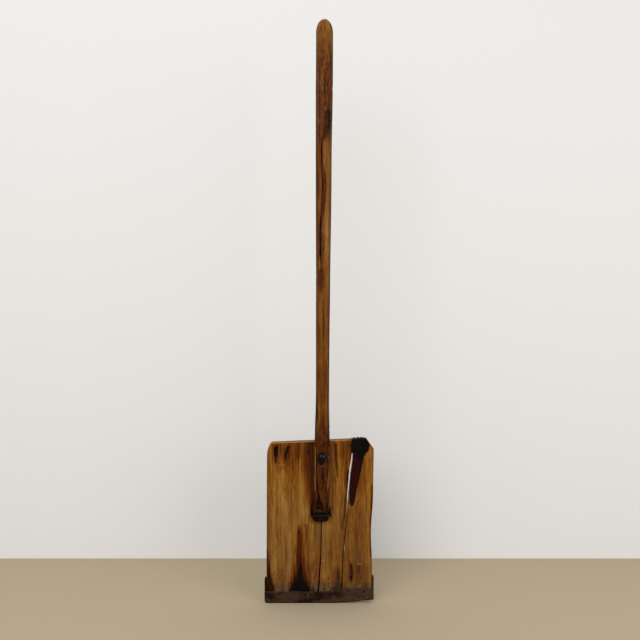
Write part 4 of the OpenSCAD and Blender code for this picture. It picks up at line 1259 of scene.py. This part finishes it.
def cap_profile(d, h, count):
    """A dome's depths and radii from its top to its rim, as part of a sphere."""
    r = (d * d / 4 + h * h) / (2 * h)
    a = np.linspace(0.12, 1, count) * np.arcsin(d / 2 / r)
    return r * (1 - np.cos(a)) - h, r * np.sin(a)


def carriage_bolt_shape(s):
    """A hammered dome, a square neck, a round shank and a cut thread on its end."""
    iron = s.iron
    a = round_angles(BOLT_SIDES)
    dome_y, dome_r = cap_profile(iron.bolt_head_d, iron.bolt_head_h, 12)
    hammer = 0.3 + 0.3 * noise(np.outer(dome_r, np.sin(a)) / 4, np.outer(dome_r, np.cos(a)) / 4, 101)
    outline = 1 + 0.035 * noise(3 * np.cos(a) + 7, 3 * np.sin(a) + 7, 102)
    # The blows flatten the dome a little and drive it into the wood
    head_y = s.lap_y + 0.88 * dome_y[:, None] - 0.6 + hammer
    rim_r = np.outer([1, 0.985], outline) * iron.bolt_head_d / 2
    neck_y = s.lap_y + np.array([0, 0.05, iron.neck_l - 0.8, iron.neck_l])
    neck_r = np.array([square_radius(iron.bolt_d / 2 * share, a) for share in (1.0, 1.0, 1.0, 0.94)])
    low = s.back - 8
    end = s.nut_y + iron.nut_t + iron.bolt_past
    thread_y = np.arange(low, end - 0.9, iron.pitch / 8)
    ridge = np.abs(((thread_y[:, None] / iron.pitch + a / (2 * np.pi)) % 1) * 2 - 1)
    thread_r = iron.bolt_d / 2 - 0.62 * ridge * ease((thread_y[:, None] - low) / 2)
    parts = [(head_y, dome_r[:, None] * outline), ([s.lap_y - 0.3, s.lap_y], rim_r), (neck_y, neck_r),
             ([s.lap_y + iron.neck_l + 0.05, low - 0.3], [iron.bolt_d / 2 - 0.02] * 2),
             (thread_y, thread_r), ([end - 0.8, end - 0.25, end], [3.3, 2.9, 1.9])]
    return skin(lean_points(s, np.concatenate([turned(y, r, BOLT_SIDES) for y, r in parts])))


def ring_shape(s, y0, y1, outer, inner, chamfer, sides):
    """A washer or nut: a section walked round as inner front, outer front, outer back, inner back.
    outer gives the outline's radius for an angle and a share of the way from front to back."""
    a = round_angles(sides)
    share = np.linspace(0, 1, 6)
    inward = share[1:-1]
    front = inner + (outer(a, 0) - inner) * share[:, None]
    edge = np.array([outer(a, t) for t in inward])
    back = inner + (outer(a, 1) * chamfer - inner) * share[::-1, None]
    hole = np.full((3, sides), inner)
    y = np.concatenate([np.full(6, y0), y0 + (y1 - y0) * inward, np.full(6, y1),
                        y1 + (y0 - y1) * np.array([0.25, 0.5, 0.75])])
    rings = turned(y, np.concatenate([front, edge, back, hole]), sides)
    lumps = rough(rings[..., 0] / 5, rings[..., 2] / 5, 103)
    rings[..., 1] += 0.16 * lumps * (y1 - y0) ** 0.5 * np.sign(y[:, None] - (y0 + y1) / 2)
    return skin(lean_points(s, rings), poles=False)


def washer_shape(s):
    """A hand-cut washer, its outline a little uneven."""
    def outline(a, t):
        return s.iron.washer_d / 2 * (1 + 0.02 * noise(4 * np.cos(a) + 9, 4 * np.sin(a) + 9, 104))
    return ring_shape(s, s.back + 0.05, s.nut_y, outline, s.iron.bolt_d / 2 + 0.25, 1.0,
                      WASHER_SIDES)


def nut_shape(s):
    """A square nut whose far corners are taken off by a cone and whose arrises are soft."""
    iron = s.iron
    def outline(a, t):
        cone = 0.58 * iron.nut_w + 1.15 * iron.nut_t * (1 - t)
        return np.minimum(square_radius(iron.nut_w / 2, a + 0.12, 16), cone)
    return ring_shape(s, s.nut_y + 0.05, s.nut_y + iron.nut_t, outline, iron.bolt_d / 2 + 0.1, 0.985,
                      NUT_SIDES)


def staple_shape(s):
    """A rod bent like a U across the foot, its legs through the board and clinched inwards. Half of
    the path is worked out from the tip of one leg to the middle of the crown, then mirrored."""
    iron, handle = s.iron, s.handle
    r = iron.staple_d / 2
    turn_r, back_r = r + 2, r + BEND_GAP
    half = handle.foot_w / 2 + r + 0.15
    crown_y = s.front - handle.foot_t - r
    high_x, low_x = half - turn_r, half - back_r
    parts = [straight((low_x - iron.clinch_l, s.back + back_r), (low_x - 0.5, s.back + back_r), 10),
             arc((low_x, s.back), back_r, 90, 0, 9),
             straight((half, s.back - 1), (half, crown_y + turn_r + 1), 12),
             arc((high_x, crown_y + turn_r), turn_r, 0, -90, 9),
             straight((high_x - 1, crown_y), (0, crown_y), 14)]
    line, way = (np.concatenate(lists) for lists in zip(*parts))
    line = np.concatenate([line, line[-2::-1] * [-1, 1]])
    way = np.concatenate([way, way[-2::-1] * [1, -1]])
    run = np.concatenate([[0], np.cumsum(np.linalg.norm(np.diff(line, axis=0), axis=1))])
    from_tip = np.minimum(run, run[-1] - run)
    radius = r * np.interp(from_tip, [0, 1.2, iron.clinch_l], [0.5, 0.68, 1])
    a = round_angles(ROD_SIDES)
    uneven = 1 + 0.07 * rough(run[:, None] / 4, np.cos(a) * 1.5 + 5, 105) + 0.03 * np.cos(2 * a)
    up = s.staple_z - s.bolt_z + 0.5 * noise(run / 14, 0.5, 106)
    path = np.stack([line[:, 0] - handle.foot_swing, line[:, 1], up], -1)
    tangent = np.stack([way[:, 0], way[:, 1], np.zeros(len(way))], -1)
    return skin(lean_points(s, swept(path, tangent, (0, 0, 1), radius[:, None] * uneven)))


def foot_nail_shape(s, number, x, up):
    """One nail: a hammered head, a shank and, on the back, a quarter bend to a drawn-out point."""
    iron = s.iron
    r = iron.foot_nail_d / 2
    turn_r = r + BEND_GAP
    head_y, head_r = cap_profile(iron.foot_head_d, FOOT_HEAD_H, 8)
    base = s.front - s.handle.foot_t - 0.4
    ahead_y = np.concatenate([base + head_y, [base + 0.05, base + 0.1, s.back - 2]])
    parts = [(np.stack([ahead_y, 0 * ahead_y], -1), np.tile([1, 0], (len(ahead_y), 1))),
             arc((s.back, -turn_r), turn_r, 90, 0, 8),
             straight((s.back + turn_r, -turn_r - 1), (s.back + turn_r, -turn_r - iron.foot_point_l), 8)]
    line, way = (np.concatenate(lists) for lists in zip(*parts))
    radius = np.concatenate([head_r, [0.97 * head_r[-1], r, r], np.full(8, r), np.linspace(r, 0.35 * r, 8)])
    a = round_angles(FOOT_NAIL_SIDES)
    uneven = 1 + 0.07 * noise(2.4 * np.cos(a) + 9 * number, 2.4 * np.sin(a) + 5, 107)
    path = np.stack([np.full(len(line), x), line[:, 0], s.staple_z - s.bolt_z + up + line[:, 1]], -1)
    tangent = np.stack([np.zeros(len(line)), way[:, 0], way[:, 1]], -1)
    rings = swept(path, tangent, (1, 0, 0), radius[:, None] * uneven)
    on_head = rings[..., 1] < base + 0.02
    rings[..., 1] += on_head * 0.25 * noise(rings[..., 0] / 1.8, rings[..., 2] / 1.8, 108 + number)
    return skin(lean_points(s, rings))


def straight_nail_shape(place, tilt, d, head_d, head_h, head_y, point_y, seed):
    """A nail along its own Y axis from its head's top to its point, tilted about X and set in place.
    head_y is the head's underside, and the head lies on the side away from the point."""
    way = np.sign(point_y - head_y)
    cap_y, cap_r = cap_profile(head_d, head_h, 8)
    y = np.concatenate([head_y + way * cap_y, head_y + way * np.array([0.05, 0.1]),
                        point_y - way * np.array([1.2, 0.3, 0])])
    r = np.concatenate([cap_r, [0.96 * cap_r[-1], d / 2, d / 2, 0.38 * d, 0.22 * d]])
    a = round_angles(ROD_SIDES)
    uneven = 1 + 0.08 * noise(2.2 * np.cos(a) + seed, 2.2 * np.sin(a) + 5, 109)
    rings = turned(y, r[:, None] * uneven, ROD_SIDES)
    head = rings[:len(cap_y)]
    head[..., 1] += 0.22 * noise(head[..., 0] / 1.6 + seed, head[..., 2] / 1.6, 110)
    sine, cosine = np.sin(tilt), np.cos(tilt)
    x, y, z = np.moveaxis(rings, -1, 0)
    return skin(np.stack([x, y * cosine + z * sine, z * cosine - y * sine], -1) + place)


def foot_nail_shapes(s):
    """Two nails close together through the handle's foot."""
    return joined([foot_nail_shape(s, number, x, up) for number, (x, up) in enumerate(FOOT_NAILS)])


def lip_nail_shapes(s):
    """Four nails through the lip, the board and the back plate."""
    shoe, iron = s.shoe, s.iron
    z = shoe.lip_h - LIP_NAIL_DOWN
    places = [(s.shoe_left + 14, z), (-36, z), (18, shoe.lip_h - LOWER_NAIL * LIP_NAIL_DOWN),
              (s.shoe_right - 22, z + shoe.lip_step)]
    tip = bevel_plane(s, shoe.lip_h, shoe.sheet) + 0.3
    return joined([straight_nail_shape((x, 0, z), 0, iron.lip_nail_d, iron.lip_head_d, LIP_HEAD_H,
                                       s.front - shoe.sheet, tip, 3 * number)
                   for number, (x, z) in enumerate(places)])


def back_nail_shapes(s):
    """The row of nails square to the bevel, their points just through the front face."""
    iron, z = s.iron, s.back_nail_z
    depth = s.board.edge + (z - s.low) * s.bevel_tan
    tilt = np.arctan(s.bevel_tan)
    return joined([straight_nail_shape((x, s.front + depth, z), tilt, iron.back_nail_d, iron.back_head_d,
                                       BACK_HEAD_H, s.shoe.sheet, -depth * np.cos(tilt) - 0.4, 2 * number)
                   for number, x in enumerate(back_nail_xs(s))])


# The shoe

def bevel_plane(s, z, off):
    """Depth of the plane that lies off the board's bevel by a step, at one height."""
    return s.front + s.board.edge + off * np.hypot(1, s.bevel_tan) + (z - s.low) * s.bevel_tan


# Columns of the shoe's front or back, of an ear, and of a corner
FRONT_COLS, EAR_COLS, CORNER_COLS = 210, 8, 4
# How much lower the plate's snipped corners and the ears end than the middle of its top edge, and from how
# far inside its ends
EAR_DROP, EAR_DROP_IN = 6, 14
# Radii of the bends into the ears, outside and inside
EAR_BEND, EAR_BEND_IN = 2.6, 0.8


def shoe_cols():
    """The part of the loop and the share of the way along it, for each column."""
    counts = [FRONT_COLS, CORNER_COLS, EAR_COLS, CORNER_COLS] * 2
    part = np.concatenate([np.full(n, k) for k, n in enumerate(counts)])
    return part, np.concatenate([np.arange(n) / n for n in counts])


def shoe_plan(left, right, y0, y1, c, cols):
    """A round-cornered loop seen from above, walked from the front left corner: front, right ear,
    back, left ear, with quarter rounds between. y1 may differ from point to point."""
    part, share = cols
    a = share * np.pi / 2
    parts = [part + 0 * (y0 + y1 + left) == k for k in range(7)]
    wide, deep = right - left - 2 * c, y1 - y0 - 2 * c
    x = np.select(parts, [left + c + share * wide, right - c + c * np.sin(a), right,
                          right - c + c * np.cos(a), right - c - share * wide, left + c - c * np.sin(a),
                          left], left + c - c * np.cos(a))
    y = np.select(parts, [y0 + 0 * x, y0 + c - c * np.cos(a), y0 + c + share * deep, y1 - c + c * np.sin(a),
                          y1 + 0 * x, y1 - c + c * np.cos(a), y1 - c - share * deep],
                  y0 + c - c * np.sin(a))
    return x, y


def shoe_tops(s, x, part):
    """Height of the sheet's ragged upper edge for each column: the lip and its step in front, the
    plate behind and on the ears."""
    shoe = s.shoe
    step = ease((x - s.crack_x + shoe.lip_step) / (shoe.lip_step + 3))
    nicks = 1.6 * ease((noise(x / 5, 0.5, 122) - 0.55) / 0.3)
    lip = shoe.lip_h + shoe.lip_step * step + 0.9 * rough(x / 9, 0.5, 121) - nicks
    from_end = np.minimum(x - s.shoe_left, s.shoe_right - x)
    plate = (shoe.plate_h + shoe.plate_rise * x / s.board.width + 0.5 * rough(x / 14, 0.5, 123)
             - EAR_DROP * ease(1 - from_end / EAR_DROP_IN))
    return np.where(part == 0, lip, plate)


def dented(x, y, z, part):
    """The outside buckled and dented in front and behind, and its ears waved, but not at the fold."""
    bulge = 0.55 * rough(x / 34, z / 20, 124) + 0.3 * noise(x / 7, z / 6, 125)
    dents = 0.35 * ease((noise(x / 6, z / 6 + 40 * (y > 0), 126) - 0.55) / 0.3)
    facing = np.select([part == 0, part == 4], [-1.0, 1.0], 0.0)
    ear = np.select([part == 2, part == 6], [1.0, -1.0], 0.0)
    level = ease(z / 9)
    y = y + facing * (np.clip(bulge, -0.2, 0.7) - dents) * level
    return x + ear * (0.26 * rough(y / 8, z / 12, 127) - 0.42) * level, y


def shoe_rings(s):
    """Rings of the plan that rise from the rounded fold to the ragged edge outside, go over it, and come
    down again one sheet inside."""
    shoe, cols = s.shoe, shoe_cols()
    part = cols[0]
    left, right = s.shoe_left - shoe.sheet, s.shoe_right + shoe.sheet
    y_out = s.front - shoe.sheet
    x_flat, _ = shoe_plan(left, right, y_out, bevel_plane(s, 0, shoe.sheet), EAR_BEND, cols)
    tops = shoe_tops(s, x_flat, part)
    floor = worn_low(s, x_flat)
    corner = shoe.corner_r * (1 - np.sqrt(1 - np.clip(1 - (x_flat - left) / shoe.corner_r, 0, 1) ** 2))
    fold = np.radians(np.linspace(0, 90, 6))[:, None]
    rise = np.linspace(0, 1, 34)[1:, None]
    bend_z = floor + corner + shoe.fold_r * (1 - np.cos(fold))
    outer_z = np.concatenate([bend_z, bend_z[-1] + rise * (tops - bend_z[-1])])
    pull = np.concatenate([shoe.fold_r * (1 - np.sin(fold)), 0 * rise])
    y_back = bevel_plane(s, np.maximum(outer_z, shoe.fold_r), shoe.sheet)
    x, y = shoe_plan(left + 0.5 * pull, right - 0.5 * pull, y_out + pull, y_back - pull, EAR_BEND, cols)
    x, y = dented(x, y, outer_z, part)
    inner_z = s.low + floor + np.linspace(1, 0, 14)[:, None] * (tops - floor - s.low)
    x_in, y_in = shoe_plan(left + shoe.sheet, right - shoe.sheet, s.front, bevel_plane(s, inner_z, 0.0),
                           EAR_BEND_IN, cols)
    inset = np.array([0.35, 1.0, 1.65])[:, None] / shoe.sheet
    rim_z = tops + np.array([0.35, 0.5, 0.3])[:, None]
    return np.stack([np.concatenate([x, x[-1] + inset * (x_in[0] - x[-1]), x_in]),
                     np.concatenate([y, y[-1] + inset * (y_in[0] - y[-1]), y_in]),
                     np.concatenate([outer_z, rim_z, inner_z])], -1)


def shoe_bottom(ring, way):
    """Faces across a ring of vertex numbers, from each column in front to its mirror behind: quads, and a
    triangle at the middle of each ear, where the two are one."""
    sides = len(ring)
    middle = sides - CORNER_COLS - EAR_COLS // 2
    near = np.arange(middle, middle + sides // 2 + 1)
    strip = grid_quads(np.stack([ring[near % sides], ring[(2 * middle - near) % sides]]))
    return strip[1:-1, ::way], np.stack([strip[0, [0, 1, 2]], strip[-1, [0, 1, 3]]])[:, ::way]


def shoe_marks(s, x, z):
    """Rubbed iron towards the right, a red patch of rust in the middle, and grime with painted shade at the
    fold.
    """
    # The fold is darkened: painted shade where the sheet turns under, with grime
    fold = ease((4.5 - z + worn_low(s, x)) / 4)
    red = stroke(x, z, [(-4, -5, 30), (-2, 40, 26)], 14)
    return {"bare": 0.55 * ease((x - 25) / 60),
            "red": red * (0.55 + 0.45 * rough(x / 9, z / 9, 128)),
            "grime": np.clip(0.9 * fold + 0.7 * ease(rough(x / 6, z / 5, 129) - 0.35), 0, 1)}


def shoe_shape(s):
    """A pocket of sheet iron: its rings in one skin, with strips that close the bottom and the floor."""
    rings = shoe_rings(s)
    count, sides = rings.shape[:2]
    index = np.arange(count * sides).reshape(count, sides)
    bottom, bottom_ends = shoe_bottom(index[0], -1)
    floor, floor_ends = shoe_bottom(index[-1], 1)
    body = grid_quads(np.concatenate([index, index[:, :1]], axis=1))
    points = rings.reshape(-1, 3)
    shape = points, np.concatenate([body, bottom, floor]), np.concatenate([bottom_ends, floor_ends])
    return shape, shoe_marks(s, points[:, 0], points[:, 2])


# Operators

class SHOVEL_OT_board(bpy.types.Operator):
    """Builds the board with its knot, its splits and its worn arrises"""
    bl_idname = "shovel.board"
    bl_label = "Board"

    def execute(self, context):
        s = shovel_sizes(context.scene)
        shape, marks = board_shape(s)
        make_piece("board", shape, waxed_pine_board(s.board), "blade", marks, crease=50)
        return {"FINISHED"}


class SHOVEL_OT_handle(bpy.types.Operator):
    """Builds the handle with its dome, its long check and its lap on the board"""
    bl_idname = "shovel.handle"
    bl_label = "Handle"

    def execute(self, context):
        s = shovel_sizes(context.scene)
        shape, marks = handle_shape(s)
        make_piece("pole", shape, hand_polished_ash(s.handle), "handle", marks, crease=50)
        return {"FINISHED"}


class SHOVEL_OT_bolt(bpy.types.Operator):
    """Builds the carriage bolt, its washer and its square nut"""
    bl_idname = "shovel.bolt"
    bl_label = "Bolt, washer and nut"

    def execute(self, context):
        s = shovel_sizes(context.scene)
        iron = forged_black_iron(s.iron)
        make_piece("bolt", carriage_bolt_shape(s), iron, "carriage_bolt")
        make_piece("washer", washer_shape(s), iron, "bolt_washer")
        make_piece("nut", nut_shape(s), iron, "square_nut")
        return {"FINISHED"}


class SHOVEL_OT_staple(bpy.types.Operator):
    """Builds the staple over the foot"""
    bl_idname = "shovel.staple"
    bl_label = "Staple"

    def execute(self, context):
        s = shovel_sizes(context.scene)
        make_piece("staple", staple_shape(s), forged_black_iron(s.iron), "heel_staple")
        return {"FINISHED"}


class SHOVEL_OT_nails(bpy.types.Operator):
    """Builds the nails of the foot, the lip and the back plate"""
    bl_idname = "shovel.nails"
    bl_label = "Nails"

    def execute(self, context):
        s = shovel_sizes(context.scene)
        iron = forged_black_iron(s.iron)
        make_piece("nails_foot", foot_nail_shapes(s), iron, "foot_nails")
        make_piece("nails_lip", lip_nail_shapes(s), iron, "lip_nails")
        make_piece("nails_back", back_nail_shapes(s), iron, "back_nails")
        return {"FINISHED"}


class SHOVEL_OT_shoe(bpy.types.Operator):
    """Builds the folded shoe with its ragged edges"""
    bl_idname = "shovel.shoe"
    bl_label = "Shoe"

    def execute(self, context):
        s = shovel_sizes(context.scene)
        shape, marks = shoe_shape(s)
        make_piece("shoe", shape, rusted_sheet_iron(s.shoe), "edge_shoe", marks, crease=50)
        return {"FINISHED"}


# Depth of the plane in which the picture's width is measured, through the handle
PICTURE_Y = -12
# Side of the floor, and width and height of the backdrop
FLOOR_SIDE, WALL_W, WALL_H = 12000, 9000, 4000


def stage_material(name, shade):
    """Matt paint of one pale colour on the side that faces the shovel. The other side is clear, so that
    the shovel can be seen from behind the backdrop too."""
    material, tree = blank_material(name)
    paint_side = add(tree, "ShaderNodeBsdfDiffuse", {"Color": shade})
    clear_side = add(tree, "ShaderNodeBsdfTransparent")
    far_side = add(tree, "ShaderNodeNewGeometry", out="Backfacing")
    shader = add(tree, "ShaderNodeMixShader", {0: far_side, 1: paint_side, 2: clear_side})
    add(tree, "ShaderNodeOutputMaterial", {"Surface": shader})
    return material


def stage_sheet(name, profile, width, material):
    """A sheet drawn out along X over a profile of (y, z) points."""
    profile = np.array(profile, float)
    x = np.repeat([-width / 2, width / 2], len(profile))
    points = np.column_stack([x, np.tile(profile, (2, 1))])
    index = np.arange(len(points)).reshape(2, -1)
    mesh = bpy.data.meshes.new(name)
    mesh.from_pydata((points * MM).tolist(), [], grid_quads(index)[:, ::-1].tolist())
    mesh.shade_smooth()
    mesh.materials.append(material)
    sheet = bpy.data.objects.new(name, mesh)
    bpy.context.scene.collection.objects.link(sheet)


def soft_lamp(name, at, target, size, power):
    """A square area lamp at a place in metres, turned to a target."""
    data = bpy.data.lights.new(name, "AREA")
    data.size, data.energy = size, power
    lamp = bpy.data.objects.new(name, data)
    lamp.location = at
    lamp.rotation_euler = (Vector(target) - Vector(at)).to_track_quat("-Z", "Y").to_euler()
    lamp.visible_camera = False
    bpy.context.scene.collection.objects.link(lamp)


class SHOVEL_OT_stage(bpy.types.Operator):
    """Sets the floor, the backdrop, the lamps and the camera"""
    bl_idname = "shovel.stage"
    bl_label = "Stage"

    def execute(self, context):
        scene = context.scene
        stage = in_mm(scene.shovel_stage)
        floor = stage_material("pale_floor", stage.floor)
        wall = stage_material("pale_backdrop", stage.wall)
        stage_sheet("floor", [(-FLOOR_SIDE / 2, 0), (FLOOR_SIDE / 2, 0)], FLOOR_SIDE, floor)
        stage_sheet("backdrop", [(stage.behind, -1), (stage.behind, WALL_H)], WALL_W, wall)
        soft_lamp("key", (-1.1, -2.6, 2.2), (0, 0, 0.6), 2.2, 42)
        soft_lamp("fill", (1.9, -1.8, 1.2), (0, 0, 0.6), 1.6, 14)
        world = scene.world or bpy.data.worlds.new("soft_room")
        scene.world = world
        world.use_nodes = True
        world.node_tree.nodes.clear()
        light = add(world.node_tree, "ShaderNodeBackground", {"Color": paint("#ffffff"), "Strength": 0.72})
        add(world.node_tree, "ShaderNodeOutputWorld", {"Surface": light})
        camera = bpy.data.objects.new("camera", bpy.data.cameras.new("camera"))
        camera.location = (stage.aside * MM, (PICTURE_Y - stage.distance) * MM, stage.eye * MM)
        camera.rotation_euler = (np.pi / 2, 0, 0)
        camera.data.sensor_width = stage.sensor
        camera.data.lens = stage.sensor * stage.distance / stage.picture
        scene.collection.objects.link(camera)
        scene.camera = camera
        scene.view_settings.view_transform = "Standard"
        return {"FINISHED"}


class SHOVEL_PT_panel(bpy.types.Panel):
    """Lists the sizes and colours, and a button for each piece"""
    bl_label = "Old grain shovel"
    bl_idname = "SHOVEL_PT_panel"
    bl_space_type = "VIEW_3D"
    bl_region_type = "UI"
    bl_category = "Shovel"

    def draw(self, context):
        for operator in OPERATORS:
            self.layout.operator(operator.bl_idname)
        for name, group in GROUPS.items():
            box = self.layout.box()
            box.label(text=name.capitalize())
            for prop in group.__annotations__:
                box.prop(getattr(context.scene, "shovel_" + name), prop)


OPERATORS = (SHOVEL_OT_stage, SHOVEL_OT_board, SHOVEL_OT_handle, SHOVEL_OT_bolt, SHOVEL_OT_staple,
             SHOVEL_OT_nails, SHOVEL_OT_shoe)
CLASSES = (*GROUPS.values(), *OPERATORS, SHOVEL_PT_panel)


def register():
    """Adds the classes, and each settings group to the scene."""
    for item in CLASSES:
        bpy.utils.register_class(item)
    for name, group in GROUPS.items():
        setattr(bpy.types.Scene, "shovel_" + name, bpy.props.PointerProperty(type=group))


def unregister():
    """Takes away what register added."""
    for name in GROUPS:
        delattr(bpy.types.Scene, "shovel_" + name)
    for item in reversed(CLASSES):
        bpy.utils.unregister_class(item)


def main():
    """Builds the stage and every piece."""
    register()
    bpy.ops.shovel.stage()
    bpy.ops.shovel.board()
    bpy.ops.shovel.handle()
    bpy.ops.shovel.bolt()
    bpy.ops.shovel.staple()
    bpy.ops.shovel.nails()
    bpy.ops.shovel.shoe()


if __name__ == "__main__":
    main()
